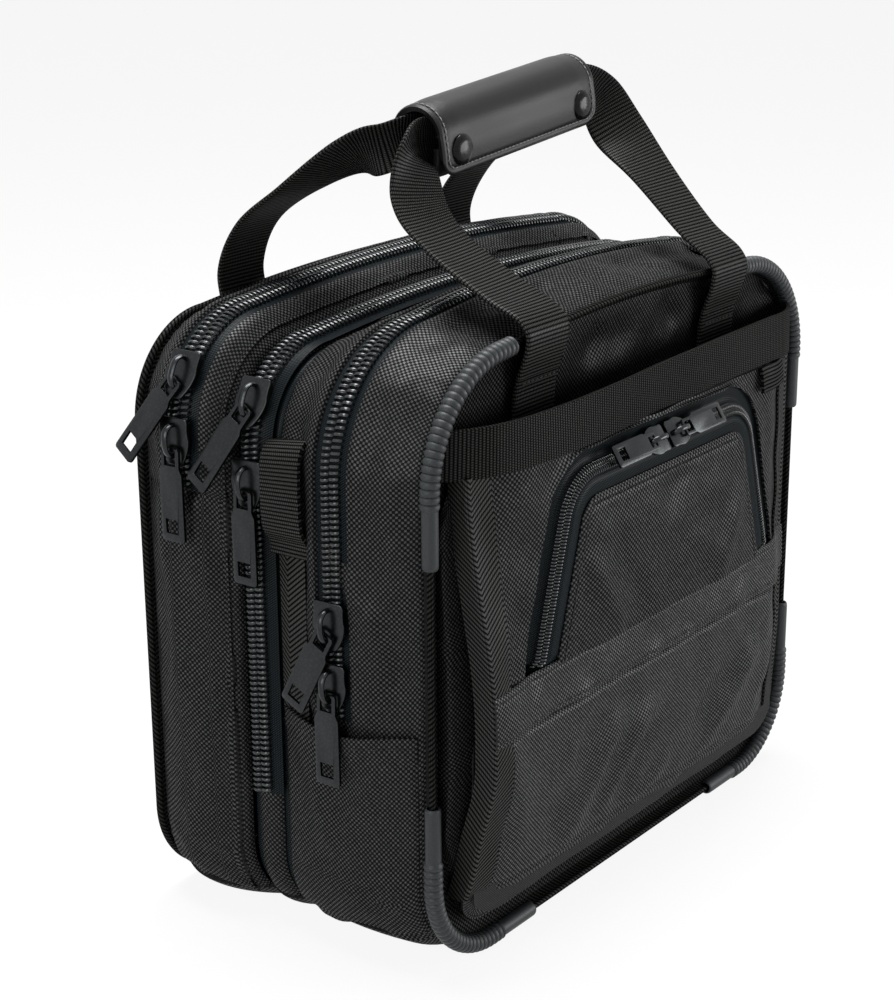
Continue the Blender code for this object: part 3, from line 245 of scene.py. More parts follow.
# %% Basket weave
def basket_weave():
    group, start, end = new_group("basket_weave", [("Cell", NUMBER, 0.0015)], ["Height", "Thread"])
    do = partial(calc, group)
    x, y = split_place(group, start)
    a = do("DIVIDE", x, start.outputs["Cell"])
    b = do("DIVIDE", y, start.outputs["Cell"])
    over = do("MULTIPLY", half_waves(group, a), half_waves(group, b))
    warp = group.nodes.new("ShaderNodeMapRange")
    warp.interpolation_type = "SMOOTHSTEP"
    warp.inputs["From Min"].default_value = -0.35
    warp.inputs["From Max"].default_value = 0.6
    wire(group, over, warp.inputs["Value"])
    weft = do("POWER", do("ABSOLUTE", over), 0.5)
    pillow = do("MULTIPLY_ADD", weft, 0.1, do("MULTIPLY", warp.outputs["Result"], 0.9))
    wire(group, pillow, end.inputs["Height"])
    cell = group.nodes.new("ShaderNodeCombineXYZ")
    wire(group, do("FLOOR", a), cell.inputs[0])
    wire(group, do("FLOOR", b), cell.inputs[1])
    luck = group.nodes.new("ShaderNodeTexWhiteNoise")
    luck.noise_dimensions = "2D"
    wire(group, cell.outputs[0], luck.inputs["Vector"])
    wire(group, do("MULTIPLY_ADD", luck.outputs["Value"], 0.3, 0.7), end.inputs["Thread"])
    return group


BASKET = basket_weave()
print("basket weave:", len(BASKET.nodes), "nodes")

# %% [markdown]
# Webbing has ribs across its length, each a row of small over and under stitches.
# The narrow binding tape has a herringbone: slanted ribs that change direction at its spine.


# %% Webbing ribs and herringbone
def webbing_ribs():
    group, start, end = new_group("webbing_ribs", [("Pitch", NUMBER, 0.002)], ["Height", "Thread"])
    do = partial(calc, group)
    x, y = split_place(group, start)
    pitch = start.outputs["Pitch"]
    along = do("DIVIDE", y, pitch)
    rib = do("ABSOLUTE", half_waves(group, along))
    row = do("MULTIPLY", do("FLOOR", along), 0.5)
    across = do("ADD", do("DIVIDE", x, do("MULTIPLY", pitch, 0.62)), row)
    bead = do("ABSOLUTE", half_waves(group, across))
    wire(group, do("MULTIPLY", rib, do("MULTIPLY_ADD", bead, 0.55, 0.45)), end.inputs["Height"])
    wire(group, do("MULTIPLY_ADD", bead, 0.5, do("MULTIPLY", rib, 0.5)), end.inputs["Thread"])
    return group


def herringbone():
    inputs = [("Pitch", NUMBER, 0.0022), ("Spine", NUMBER, 0.012)]
    group, start, end = new_group("herringbone", inputs, ["Height", "Thread"])
    do = partial(calc, group)
    x, y = split_place(group, start)
    away = do("PINGPONG", x, start.outputs["Spine"])
    slant = do("DIVIDE", do("ADD", y, do("MULTIPLY", away, 0.8)), start.outputs["Pitch"])
    rib = do("ABSOLUTE", half_waves(group, slant))
    bead = do("ABSOLUTE", do("SINE", do("DIVIDE", x, 0.00035)))
    wire(group, do("MULTIPLY", rib, do("MULTIPLY_ADD", bead, 0.3, 0.7)), end.inputs["Height"])
    wire(group, do("MULTIPLY_ADD", bead, 0.25, do("MULTIPLY", rib, 0.75)), end.inputs["Thread"])
    return group


RIBS = webbing_ribs()
CHEVRON = herringbone()
print("webbing and herringbone groups ready")

# %% [markdown]
# Use leaves soft marks: paler patches where the bag is handled, dull ones where dust settles.
# A broad noise in the bag's own coordinates serves all finishes, and each takes as much as it should show.
# Leather, rubber and metal get a fine grain of pores and creases.


# %% Handling marks and grain
def handling_marks():
    group, start, end = new_group("handling_marks", [("Scale", NUMBER, 18.0)], ["Tone"])
    broad = group.nodes.new("ShaderNodeTexNoise")
    broad.inputs["Detail"].default_value = 4.0
    wire(group, start.outputs["Place"], broad.inputs["Vector"])
    wire(group, start.outputs["Scale"], broad.inputs["Scale"])
    wire(group, broad.outputs["Fac"], end.inputs["Tone"])
    return group


def leather_grain():
    group, start, end = new_group("leather_grain", [("Scale", NUMBER, 900.0)], ["Height"])
    do = partial(calc, group)
    pores = group.nodes.new("ShaderNodeTexVoronoi")
    pores.feature = "DISTANCE_TO_EDGE"
    creases = group.nodes.new("ShaderNodeTexNoise")
    wire(group, start.outputs["Place"], pores.inputs["Vector"])
    wire(group, start.outputs["Place"], creases.inputs["Vector"])
    wire(group, start.outputs["Scale"], pores.inputs["Scale"])
    wire(group, do("MULTIPLY", start.outputs["Scale"], 0.25), creases.inputs["Scale"])
    cell = do("MINIMUM", do("MULTIPLY", pores.outputs["Distance"], 5.0), 1.0)
    height = do("MULTIPLY_ADD", creases.outputs["Fac"], 0.5, do("MULTIPLY", cell, 0.5))
    wire(group, height, end.inputs["Height"])
    return group


MARKS = handling_marks()
GRAIN = leather_grain()
print("marks and grain groups ready")

# %% [markdown]
# A finish joins a pattern with the handling marks.
# The pattern drives the colour, from the shaded hollow of the threads to their lit tops, and the bump.
# A thin coat on the lit threads gives the nylon its sheen without greying the hollows.
# Woven finishes read the piece's UV map, which is laid in metres. Moulded ones read the bag's coordinates.


# %% Finish builder
def finish_of(
    name, pattern, size, hollow, top, rough, bump=1.0, depth=0.0004, sheen=0.0,
    shine=0.0, marks=0.1, woven=True, metal=0.0,
):
    material = bpy.data.materials.new(name)
    material.use_nodes = True
    tree = material.node_tree
    do = partial(calc, tree)
    shader = tree.nodes["Principled BSDF"].inputs
    shader["Metallic"].default_value = metal
    shader["Specular IOR Level"].default_value = shine
    shader["Coat Roughness"].default_value = 0.42
    place = tree.nodes.new("ShaderNodeTexCoord")
    weave = tree.nodes.new("ShaderNodeGroup")
    weave.node_tree = pattern
    wire(tree, place.outputs["UV" if woven else "Object"], weave.inputs["Place"])
    weave.inputs[1].default_value = size
    used = tree.nodes.new("ShaderNodeGroup")
    used.node_tree = MARKS
    wire(tree, place.outputs["Object"], used.inputs["Place"])
    tone = used.outputs["Tone"]
    lit = do("MULTIPLY", weave.outputs[0], weave.outputs["Thread" if woven else "Height"])
    lit = do("ADD", lit, do("MULTIPLY", do("SUBTRACT", tone, 0.5), marks))
    lit.node.use_clamp = True
    colour = tree.nodes.new("ShaderNodeMix")
    colour.data_type = "RGBA"
    wire(tree, lit, colour.inputs["Factor"])
    colour.inputs["A"].default_value = (*hollow, 1)
    colour.inputs["B"].default_value = (*top, 1)
    wire(tree, colour.outputs["Result"], shader["Base Color"])
    wire(tree, do("MULTIPLY_ADD", tone, 0.24, rough - 0.12), shader["Roughness"])
    wire(tree, do("MULTIPLY", lit, sheen), shader["Coat Weight"])
    relief = tree.nodes.new("ShaderNodeBump")
    relief.inputs["Strength"].default_value = bump
    relief.inputs["Distance"].default_value = depth
    wire(tree, weave.outputs[0], relief.inputs["Height"])
    wire(tree, relief.outputs["Normal"], shader["Normal"])
    return material


def grey(tone):
    return (tone, tone, tone)


def moulded(name, scale, hollow, top, rough, bump, shine=0.5, depth=0.0004, metal=0.0):
    """A finish with grain instead of threads."""
    return finish_of(name, GRAIN, scale, hollow, top, rough, bump, depth, 0.0, shine, 0.3, False, metal)


print("finish builder ready")

# %% [markdown]
# The nylon has three tones: a lighter copy with painted light on the pocket's full face,
# a darker copy with painted shade on the panel and pocket wall behind it, and the plain one elsewhere.
# Webbing, tapes and thread follow, then the moulded finishes. All are near black, so small steps count.

# %% Finishes
NYLON = finish_of(
    "ballistic_nylon", BASKET, 0.0012, grey(0.0022), (0.047, 0.0483, 0.0478), 0.5, depth=0.0006, sheen=0.5
)
# Painted light: a lighter copy of the nylon for the pocket's lower face and hem strip.
NYLON_PAINTED_LIGHT = finish_of(
    "face_nylon_painted_light", BASKET, 0.0011, (0.0050, 0.0051, 0.0050), (0.068, 0.0700, 0.0692), 0.5, depth=0.0005,
    sheen=0.6,
)
# Painted shade: a darker copy of the nylon for the front panel and the pocket's side wall.
NYLON_PAINTED_SHADE = finish_of(
    "panel_nylon_painted_shade", BASKET, 0.0012, grey(0.0012), (0.030, 0.0308, 0.0300), 0.5, depth=0.0006, sheen=0.3
)
LINING = finish_of(
    "divider_lining", BASKET, 0.0006, grey(0.006), (0.04, 0.04, 0.042), 0.7, 0.4, shine=0.1, marks=0.3
)
WEBBING = finish_of(
    "webbing", RIBS, 0.0018, grey(0.0006), (0.046, 0.046, 0.0435), 0.6, depth=0.0009, sheen=0.35
)
BAND_WEBBING = finish_of(
    "band_webbing", RIBS, 0.0018, grey(0.0004), (0.027, 0.027, 0.0255), 0.6, depth=0.0009, sheen=0.25
)
BINDING = finish_of(
    "binding_tape", CHEVRON, 0.0024, grey(0.0008), (0.038, 0.038, 0.036), 0.62, depth=0.0006, sheen=0.4
)
WELT = finish_of(
    "piping_cloth", CHEVRON, 0.0024, grey(0.0006), (0.016, 0.016, 0.015), 0.62, depth=0.0006, sheen=0.2
)
TAPE = finish_of(
    "zip_tape", CHEVRON, 0.0011, (0.002, 0.003, 0.004), (0.010, 0.0145, 0.0165), 0.62, 0.6, sheen=0.3,
    marks=0.3,
)
COIL = moulded("zip_coil", 300.0, (0.004, 0.005, 0.006), (0.009, 0.011, 0.012), 0.26, 0.1)
RUBBER = moulded("guard_rubber", 700.0, (0.013, 0.0155, 0.017), (0.021, 0.0245, 0.0265), 0.5, 0.08, 0.3)
LEATHER = moulded("grip_leather", 900.0, grey(0.003), grey(0.008), 0.42, 0.3, 0.22, depth=0.0002)
METAL = moulded("gunmetal", 500.0, (0.027, 0.029, 0.0305), (0.040, 0.0425, 0.044), 0.27, 0.015, metal=1.0)
THREAD = moulded("sewing_thread", 1500.0, grey(0.004), grey(0.03), 0.6, 0.3, 0.2)
GREY_THREAD = moulded("grip_thread", 1500.0, grey(0.10), grey(0.22), 0.6, 0.3)
CAP = moulded("snap_cap", 400.0, (0.003, 0.0025, 0.0025), (0.007, 0.0055, 0.0055), 0.2, 0.02, 0.14)
print("finishes:", len(bpy.data.materials))

# %% [markdown]
# ## The bag's skin
# Shapes here are arrays of points, and a few short functions serve every piece.
# They put coordinates together, measure a line, find places along it, and ease from nothing to one.


# %% Points and lines
def stack(*parts):
    """Points from their coordinates. A plain number serves for all points."""
    return np.stack(np.broadcast_arrays(*parts), axis=-1)


def unit(vectors):
    return vectors / np.linalg.norm(vectors, axis=-1, keepdims=True)


def run_length(line):
    """Distance along a line from its start to each of its points."""
    return np.concatenate([[0.0], np.cumsum(np.linalg.norm(np.diff(line, axis=0), axis=-1))])


def along_line(at, length, line):
    """A line's points, or values that go with them, at distances from its start."""
    return np.stack([np.interp(at, length, column) for column in np.transpose(line)], axis=-1)


def ease(value, start, end):
    share = np.clip((value - start) / (end - start), 0, 1)
    return share * share * (3 - 2 * share)


def bell(value, width):
    return np.exp(-((value / width) ** 2))


print("a bell at its width:", round(float(bell(1.0, 1.0)), 3))

# %% [markdown]
# The bag is three stuffed compartments, sewn together at two dividers.
# Seen from the front, each cross-section is a rounded rectangle whose sides and top swell between the seams.
# One function gives a point of that skin: u climbs from the base, up a side and over to the top's middle.
# The other measure, y, runs from front to rear. These are the frame's own measures, in metres.

# %% Measures and skin
SEAM_Y = (-0.0735, 0.006, 0.025, 0.080)
SEAM_HALF = (0.1515, 0.1535, 0.1535, 0.1565)
SEAM_TOP = (0.2805, 0.2765, 0.2765, 0.2805)
SEAM_RADIUS = (0.050, 0.040, 0.040, 0.042)
SIDE_PUFF = (0.006, 0.004, 0.010)
TOP_PUFF = (0.010, 0.002, 0.010)
CORNER_PUFF = (0.014, 0.0, 0.005)
CROWN, BOTTOM_RADIUS, BASE_ROLL = 0.006, 0.040, 0.020
FRONT_LIFT, REAR_LIFT = 0.0082, 0.005
TOP_HALF = 0.100
FRONT, MIDDLE, REAR = range(3)
LEFT, RIGHT = -1, 1
HANDS = ((LEFT, "left"), (RIGHT, "right"))
ZIP_Y = (-0.029, 0.0155, 0.050)
ZIP_FOOT = (0.118, 0.070, 0.210)


def between(values, lobe, share):
    return values[lobe] + (values[lobe + 1] - values[lobe]) * share


def section(y, lobe):
    """Half width, top, top corner radius and bottom height at depth y."""
    share = (y - SEAM_Y[lobe]) / (SEAM_Y[lobe + 1] - SEAM_Y[lobe])
    swell = 4 * share * (1 - share)
    half = between(SEAM_HALF, lobe, share) + SIDE_PUFF[lobe] * swell
    top = between(SEAM_TOP, lobe, share) + TOP_PUFF[lobe] * swell
    radius = between(SEAM_RADIUS, lobe, share) + CORNER_PUFF[lobe] * swell
    front_roll = np.clip(1 - (y - SEAM_Y[0]) / BASE_ROLL, 0, None)
    rear_roll = np.clip(1 - (SEAM_Y[3] - y) / BASE_ROLL, 0, None)
    return half, top, radius, FRONT_LIFT * front_roll**2 + REAR_LIFT * rear_roll**2


def skin(u, y, lobe):
    half, top, radius, bottom = section(y, lobe)
    climb = np.abs(u)
    low_turn = np.clip(climb - 1, 0, 1) * math.pi / 2
    high_turn = np.clip(climb - 3, 0, 1) * math.pi / 2
    over = np.clip(climb - 4, 0, 1)
    shoulder = top - CROWN - radius
    x = np.clip(climb, 0, 1) * (half - BOTTOM_RADIUS) + BOTTOM_RADIUS * np.sin(low_turn)
    x = x - radius * (1 - np.cos(high_turn)) - over * (half - radius)
    z = bottom + BOTTOM_RADIUS * (1 - np.cos(low_turn))
    z = z + np.clip(climb - 2, 0, 1) * (shoulder - bottom - BOTTOM_RADIUS)
    z = z + radius * np.sin(high_turn) + CROWN * (1 - (1 - over) ** 2)
    return stack(np.where(u >= 0, x, -x), y + 0 * x, z)


def skin_out(u, y, lobe):
    """Outward direction of the skin."""
    step = 5e-5
    depth = np.clip(y, SEAM_Y[lobe] + step, SEAM_Y[lobe + 1] - step)
    run = skin(u + 0.002, depth, lobe) - skin(u - 0.002, depth, lobe)
    deep = skin(u, depth + step, lobe) - skin(u, depth - step, lobe)
    out = unit(np.cross(run, deep))
    inside = stack(0 * depth, depth, 0 * depth + 0.14)
    return out * np.sign(np.sum(out * (skin(u, depth, lobe) - inside), axis=-1, keepdims=True))


def drape(u, y, lobe, lift):
    """A point of the skin, lifted off it."""
    return skin(u, y, lobe) + skin_out(u, y, lobe) * np.expand_dims(lift + 0 * u, -1)


def side_u(z, y, lobe):
    half, top, radius, bottom = section(y, lobe)
    low = bottom + BOTTOM_RADIUS
    return 2 + (z - low) / (top - CROWN - radius - low)


def top_u(x, y, lobe):
    half, top, radius, bottom = section(y, lobe)
    return 5 - np.abs(x) / (half - radius)


print("skin at the middle of the top:", skin(np.array(5.0), np.array(0.0), FRONT).round(3))

# %% [markdown]
# ## Laying cloth
# Each piece of cloth starts as a flat grid, like a cut panel on a table.
# Its points are then laid on the bag by a function of how far across and along the panel they are.
# The UV map keeps the panel's own measures, so that every weave has the same scale.
# A Solidify modifier gives the cloth its thickness, and it is applied.


# %% Grid helpers
def select_only(piece):
    bpy.ops.object.select_all(action="DESELECT")
    piece.select_set(True)
    bpy.context.view_layer.objects.active = piece


def points_of(mesh):
    points = np.empty(len(mesh.vertices) * 3, np.float32)
    mesh.vertices.foreach_get("co", points)
    return points.reshape(-1, 3).astype(float)


def lay_grid(name, columns, rows, place, upright=False):
    """A grid whose points go where place(across, along) says, with a UV map in metres."""
    bpy.ops.object.select_all(action="DESELECT")
    bpy.ops.mesh.primitive_grid_add(x_subdivisions=columns, y_subdivisions=rows, size=2.0)
    piece = bpy.context.object
    piece.name = name
    mesh = piece.data
    mesh.name = name
    flat = points_of(mesh)
    across, along = (flat[:, 0] + 1) / 2, (flat[:, 1] + 1) / 2
    laid = place(across, along)
    mesh.vertices.foreach_set("co", laid.astype(np.float32).ravel())
    width = len(np.unique(flat[:, 0]))
    table = laid.reshape(-1, width, 3)
    widths = np.linalg.norm(np.diff(table, axis=1), axis=-1).sum(axis=1)
    heights = np.linalg.norm(np.diff(table, axis=0), axis=-1).sum(axis=0)
    over = run_length(table[np.argmax(widths)])
    up = run_length(table[:, np.argmax(heights)])
    cloth = stack(np.tile(over, len(table)), np.repeat(up, width))
    if upright:
        cloth = laid[:, [0, 2]] - laid[:, [0, 2]].min(axis=0)
    index = np.empty(len(mesh.loops), np.int32)
    mesh.loops.foreach_get("vertex_index", index)
    mesh.uv_layers[0].data.foreach_set("uv", cloth[index].astype(np.float32).ravel())
    mesh.update()
    return piece


def turn_out(piece, inside=(0.0, 0.0, 0.14)):
    """Turns a sheet's faces away from a point inside the bag."""
    mesh = piece.data
    count = len(mesh.polygons)
    normals, centres, areas = np.empty(count * 3), np.empty(count * 3), np.empty(count)
    mesh.polygons.foreach_get("normal", normals)
    mesh.polygons.foreach_get("center", centres)
    mesh.polygons.foreach_get("area", areas)
    facing = np.sum(normals.reshape(-1, 3) * (centres.reshape(-1, 3) - np.array(inside)), axis=1)
    if np.sum(facing * areas) < 0:
        mesh.flip_normals()


def apply_modifier(piece, modifier):
    select_only(piece)
    bpy.ops.object.modifier_apply(modifier=modifier.name)


def add_wall(piece, thickness):
    wall = piece.modifiers.new("wall", "SOLIDIFY")
    wall.thickness = thickness
    wall.offset = -1.0
    apply_modifier(piece, wall)


def close_tube(piece):
    """Joins the two long edges of a rolled grid and closes its open ends."""
    select_only(piece)
    bpy.ops.object.mode_set(mode="EDIT")
    bpy.ops.mesh.select_all(action="SELECT")
    bpy.ops.mesh.remove_doubles(threshold=2e-6)
    bpy.ops.mesh.fill_holes(sides=0)
    bpy.ops.mesh.normals_make_consistent(inside=False)
    bpy.ops.object.mode_set(mode="OBJECT")


def round_columns(across, half, radius, straight=0.8):
    """Signed places across a width, closer together towards round corners."""
    side = 2 * across - 1
    turn = np.clip((np.abs(side) - straight) / (1 - straight), 0, 1) * math.pi / 2
    x = np.abs(side) / straight * (half - radius)
    x = np.where(np.abs(side) < straight, x, half - radius + radius * np.sin(turn))
    return np.where(side >= 0, x, -x)


print("grid helpers ready")

# %% [markdown]
# A finished piece gets its finish, the body that it moves with, and the solids that it stands for.
# A sewn panel also prints the size of its cut.

# %% Cloth panels
LEAST_SHARE = 0.31


def dress(piece, finish, slot, body="bag", nodes=(), sharp=50):
    piece.data.materials.clear()
    piece.data.materials.append(finish)
    piece.data.shade_smooth()
    piece.data.set_sharp_from_angle(angle=math.radians(sharp))
    if body:
        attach(piece, body)
    if nodes:
        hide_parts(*nodes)
    return piece


def cloth_panel(
    name, columns, rows, place, wall, finish=NYLON, slot="ballistic_nylon", body="bag", nodes=(),
    inside=(0.0, 0.0, 0.14), rests="base_panel", upright=False,
):
    piece = lay_grid(name, columns, rows, place, upright)
    turn_out(piece, inside)
    mesh = piece.data
    cut = np.empty(len(mesh.loops) * 2, np.float32)
    mesh.uv_layers[0].data.foreach_get("uv", cut)
    size = cut.reshape(-1, 2).max(axis=0)
    area = sum(face.area for face in mesh.polygons)
    add_wall(piece, wall)
    dress(piece, finish, slot, body, nodes)
    box = float(size[0] * size[1])
    area = min(max(area, LEAST_SHARE * box), box)
    print(f"{name}: {size[0] * 1000:.0f} x {size[1] * 1000:.0f} mm, {len(mesh.polygons)} faces")
    return piece


print("cloth panels take", NYLON.name, "unless told otherwise")

# %% [markdown]
# Cloth is never flat. Slow ripples are sums of bent sine waves.
# A crease is one soft fold along a line, highest in its middle.


# %% Ripples and creases
def ripple(a, b, scale, seed):
    """Soft uneven waves of cloth, about -1 to 1."""
    total = 0 * a
    for k in range(5):
        turn = seed * 1.7 + k * 2.4
        speed = (1 + 0.35 * k) * math.tau / scale
        bend = 0.7 * np.sin(speed * 0.4 * (b * math.cos(turn) - a * math.sin(turn)) + seed)
        wave = np.sin(speed * (a * math.cos(turn) + b * math.sin(turn)) + bend + seed * 3.1 + k)
        total = total + wave / (1 + 0.4 * k)
    return total / 2.6


def crease(a, b, start, end, width, rise):
    """One soft fold along a line from start to end."""
    dx, dz = end[0] - start[0], end[1] - start[1]
    share = ((a - start[0]) * dx + (b - start[1]) * dz) / (dx * dx + dz * dz)
    held = np.clip(share, 0, 1)
    gap = np.hypot(a - start[0] - held * dx, b - start[1] - held * dz)
    return rise * bell(gap, width) * (1 - np.abs(2 * held - 1) ** 3)


def creases(a, b, folds):
    return sum(crease(a, b, *fold) for fold in folds)


print("ripples and creases ready")

# %% [markdown]
# ## Gussets and tops
# The gussets are the cloth of the sides, one for each compartment.
# Along a zip the cloth is turned under in a hem that stands a little proud of the tape.
# At each seam it rolls inwards, and the seam gathers it in small puckers.

# %% Cloth relief
HEM_EDGE, SEAM_EDGE = 0.0086, 0.0012
SEAM_STEPS = np.array([0.0, 0.0008, 0.002, 0.004])
HEM_STEPS = np.array([0.0166, 0.0141, 0.0118, 0.0100, 0.0092, 0.0086, 0.0081, 0.0076, 0.0066, 0.004])


def depth_stops(lobe):
    """Depths for the grid's columns, close together at the seams and at the hems beside the zip."""
    near, far = SEAM_Y[lobe] + SEAM_EDGE, SEAM_Y[lobe + 1] - SEAM_EDGE
    if lobe == MIDDLE:
        return np.linspace(near, far, 25)
    hems = ZIP_Y[lobe] + np.concatenate([-HEM_STEPS, [0.0], HEM_STEPS[::-1]])
    front = np.concatenate([near + SEAM_STEPS, np.linspace(near + 0.007, hems[0] - 0.002, 12)])
    rear = np.concatenate([np.linspace(hems[-1] + 0.002, far - 0.007, 12), far - SEAM_STEPS[::-1]])
    return np.concatenate([front, hems, rear])


def relief(lobe, u, y, side):
    """How far the cloth stands off the skin."""
    near, far = y - SEAM_Y[lobe], SEAM_Y[lobe + 1] - y
    roll = -0.0030 * bell(near, 0.0024) - 0.0030 * bell(far, 0.0024)
    if lobe == MIDDLE:
        return roll * 0.5 - 0.0009
    run = np.abs(u) * 0.11
    tight = np.exp(-near / 0.008) + np.exp(-far / 0.008)
    puckers = 0.0004 * np.sin(run * 420 + 3 * np.sin(run * 60)) * tight
    foot = ZIP_FOOT[lobe]
    zipped = ease(np.abs(u), side_u(foot - 0.004, y, lobe), side_u(foot + 0.002, y, lobe))
    off = np.abs(y - ZIP_Y[lobe])
    up = ease(off, HEM_EDGE - 0.0007, HEM_EDGE + 0.0007)
    hem = up * 0.0027 * bell(off - 0.0106, 0.0060) - (1 - up) * 0.0004
    slack = ease(near, 0.002, 0.016) * ease(far, 0.002, 0.016)
    slack = slack * (1 - zipped * (1 - ease(off, 0.0106, 0.0206)))
    waves = 0.0021 * ripple(run, y, 0.075, 2.0 + lobe + side)
    waves = waves + 0.0009 * ripple(run, y, 0.03, 5.0 + lobe - side)
    return roll + puckers + zipped * hem + slack * waves


print("front gusset columns:", len(depth_stops(FRONT)))

# %% [markdown]
# The rear compartment's side has a seam below its zip, and the cloth hangs in soft gathers under it.
# The front one has shallow diagonal drags where the pocket below pulls it.
# In the valleys between the compartments a folded tape binds the two cloths.

# %% Gussets
REAR_SEAM_Z = 0.2075
FRONT_DRAGS = (
    ((-0.060, 0.150), (-0.020, 0.205), 0.006, 0.0020),
    ((-0.068, 0.120), (-0.048, 0.185), 0.006, -0.0018),
    ((-0.050, 0.235), (-0.066, 0.180), 0.007, 0.0018),
)


def gather(lobe, u, y):
    height = skin(u, y, lobe)[..., 2]
    if lobe == REAR:
        seam = -0.0014 * bell(height - REAR_SEAM_Z, 0.0016)
        below = np.clip((REAR_SEAM_Z - height) / 0.11, 0, 1)
        hang = np.where(height < REAR_SEAM_Z, np.exp(-below * 2.2) * (1 - np.exp(-below * 30)), 0)
        wide = ease(y, SEAM_Y[2], SEAM_Y[2] + 0.015) * ease(-y, -SEAM_Y[3], -SEAM_Y[3] + 0.012)
        return seam + wide * hang * 0.0021 * np.sin(y * 330 + 1.2 * np.sin(height * 55))
    return creases(y, height, FRONT_DRAGS) if lobe == FRONT else 0 * y


def make_gusset(word, lobe, side, hand):
    stops = depth_stops(lobe)

    def place(across, along):
        y = np.interp(across, np.linspace(0, 1, len(stops)), stops)
        end = top_u(TOP_HALF, y, lobe)
        u = np.interp(along, [0, 0.11, 0.66], [1.5, 2, 3])
        u = np.where(along > 0.66, 3 + (end - 3) * (along - 0.66) / 0.34, u)
        return drape(side * u, y, lobe, relief(lobe, u, y, side) + gather(lobe, u, y))

    node = f"{word}_gusset_{hand}"
    cloth_panel(f"{word}_side_cloth_{hand}", len(stops) - 1, 112, place, 0.0014, nodes=[node])


def make_seam_tape(name, seam):
    """A folded tape that binds two compartments' cloth in the valley between them."""

    def place(across, along):
        u = np.where(along < 0.5, -1.45 - 7.1 * along, 8.55 - 7.1 * along)
        u = np.where(along < 0.5, np.maximum(u, -5.0), np.minimum(u, 5.0))
        inner = np.full_like(u, SEAM_Y[seam] + (2e-4 if seam == 1 else -2e-4))
        fold = drape(u, inner, MIDDLE, -0.0016 - 0.0030 * (2 * across - 1) ** 2)
        return fold + stack(0, 0.0054 * (2 * across - 1), 0)

    cloth_panel(name, 8, 240, place, 0.0006, TAPE, "zip_coil")


make_seam_tape("front_seam_tape", 1)
make_seam_tape("rear_seam_tape", 2)
for word, lobe in (("front", FRONT), ("middle", MIDDLE), ("rear", REAR)):
    for side, hand in HANDS:
        make_gusset(word, lobe, side, hand)

# %% [markdown]
# On top, a fixed strip lies before each zip, and the strip behind it lifts when the zip is open.
# They are laid like the gussets, by width and depth instead of height and depth, and end at the same lines.


# %% Top strips and mouth flaps
def make_top(name, lobe, near, far, node, body):
    stops = depth_stops(lobe)
    stops = np.concatenate([[near], stops[(stops > near + 0.0003) & (stops < far - 0.0003)], [far]])

    def place(across, along):
        y = np.interp(across, np.linspace(0, 1, len(stops)), stops)
        x = TOP_HALF * (2 * along - 1)
        u = top_u(x, y, lobe)
        lift = relief(lobe, u, y, 0)
        lift = lift + 0.0010 * ripple(x, y, 0.09, 7.0 + lobe) * ease(np.abs(y - ZIP_Y[lobe]), 0.016, 0.026)
        return drape(np.where(x >= 0, u, -u), y, lobe, lift)

    cloth_panel(name, len(stops) - 1, 84, place, 0.0014, body=body, nodes=[node])


MOUTH_EDGE, REAR_MOUTH_EDGE = 0.0058, 0.0028
make_top("front_top_cloth", FRONT, SEAM_Y[0] + SEAM_EDGE, ZIP_Y[0], "front_top_strip", "bag")
near, far = ZIP_Y[0] + MOUTH_EDGE, SEAM_Y[1] - SEAM_EDGE
make_top("front_mouth_cloth", FRONT, near, far, "front_mouth_flap", "front_mouth")
make_top("rear_top_cloth", REAR, SEAM_Y[2] + SEAM_EDGE, ZIP_Y[2], "rear_top_strip", "bag")
near, far = ZIP_Y[2] + MOUTH_EDGE, SEAM_Y[3] - REAR_MOUTH_EDGE
make_top("rear_mouth_cloth", REAR, near, far, "rear_mouth_flap", "rear_mouth")

# %% [markdown]
# ## Base, panels and dividers
# The base is one panel under all compartments that turns up round the lower corners.
# The front and rear panels are upright. Their grids run in columns that end on the panel's rounded outline.


# %% Base and panels
def any_lobe(y):
    return [y < SEAM_Y[1], y < SEAM_Y[2], y >= SEAM_Y[2]]


def place_base(across, along):
    y = SEAM_Y[0] + 0.0032 + (SEAM_Y[3] - SEAM_Y[0] - 0.0064) * across
    u = 3 * along - 1.5
    laid = []
    for lobe in (FRONT, MIDDLE, REAR):
        held = np.clip(y, SEAM_Y[lobe], SEAM_Y[lobe + 1])
        laid.append(drape(u, held, lobe, 0 * u))
    found = [np.expand_dims(test, -1) for test in any_lobe(y)]
    return np.select(found, laid)


cloth_panel("base_cloth", 60, 120, place_base, 0.0024, nodes=["base_panel"], rests="front_panel")


def panel_place(y, lobe, inset, bulge):
    """Columns across an upright panel, closer together where the corners are round."""
    half, top, radius, bottom = section(np.array(y), lobe)
    half, top, low = half - inset, top - inset, bottom + inset

    def place(across, along):
        x = round_columns(across, half, radius, 0.62)
        reach = np.abs(x)
        flat = np.clip(reach, 0, half - radius)
        arch = np.sqrt(np.clip(radius**2 - (reach - flat) ** 2, 0, None))
        high = top - CROWN * (flat / (half - radius)) ** 2 - radius + arch
        corner = np.clip(reach - (half - BOTTOM_RADIUS), 0, None)
        foot = low + BOTTOM_RADIUS - np.sqrt(np.clip(BOTTOM_RADIUS**2 - corner**2, 0, None))
        z = foot + (high - foot) * along
        return stack(x, y + bulge(x, z), z)

    return place


PANEL_FOLDS = (
    ((-0.02, 0.272), (-0.03, 0.256), 0.006, 0.0022),
    ((0.03, 0.275), (0.045, 0.256), 0.007, 0.0022),
)


def rim_gap(x, z):
    """Rough distance in from the panel's outline."""
    return np.minimum(np.minimum(0.1515 - np.abs(x), 0.281 - z), z - 0.006)


def front_bulge(x, z):
    inward = 0.0016 * (1 + ripple(x, z, 0.06, 3.0)) * ease(rim_gap(x, z), 0.002, 0.02)
    return inward + creases(x, z, PANEL_FOLDS)


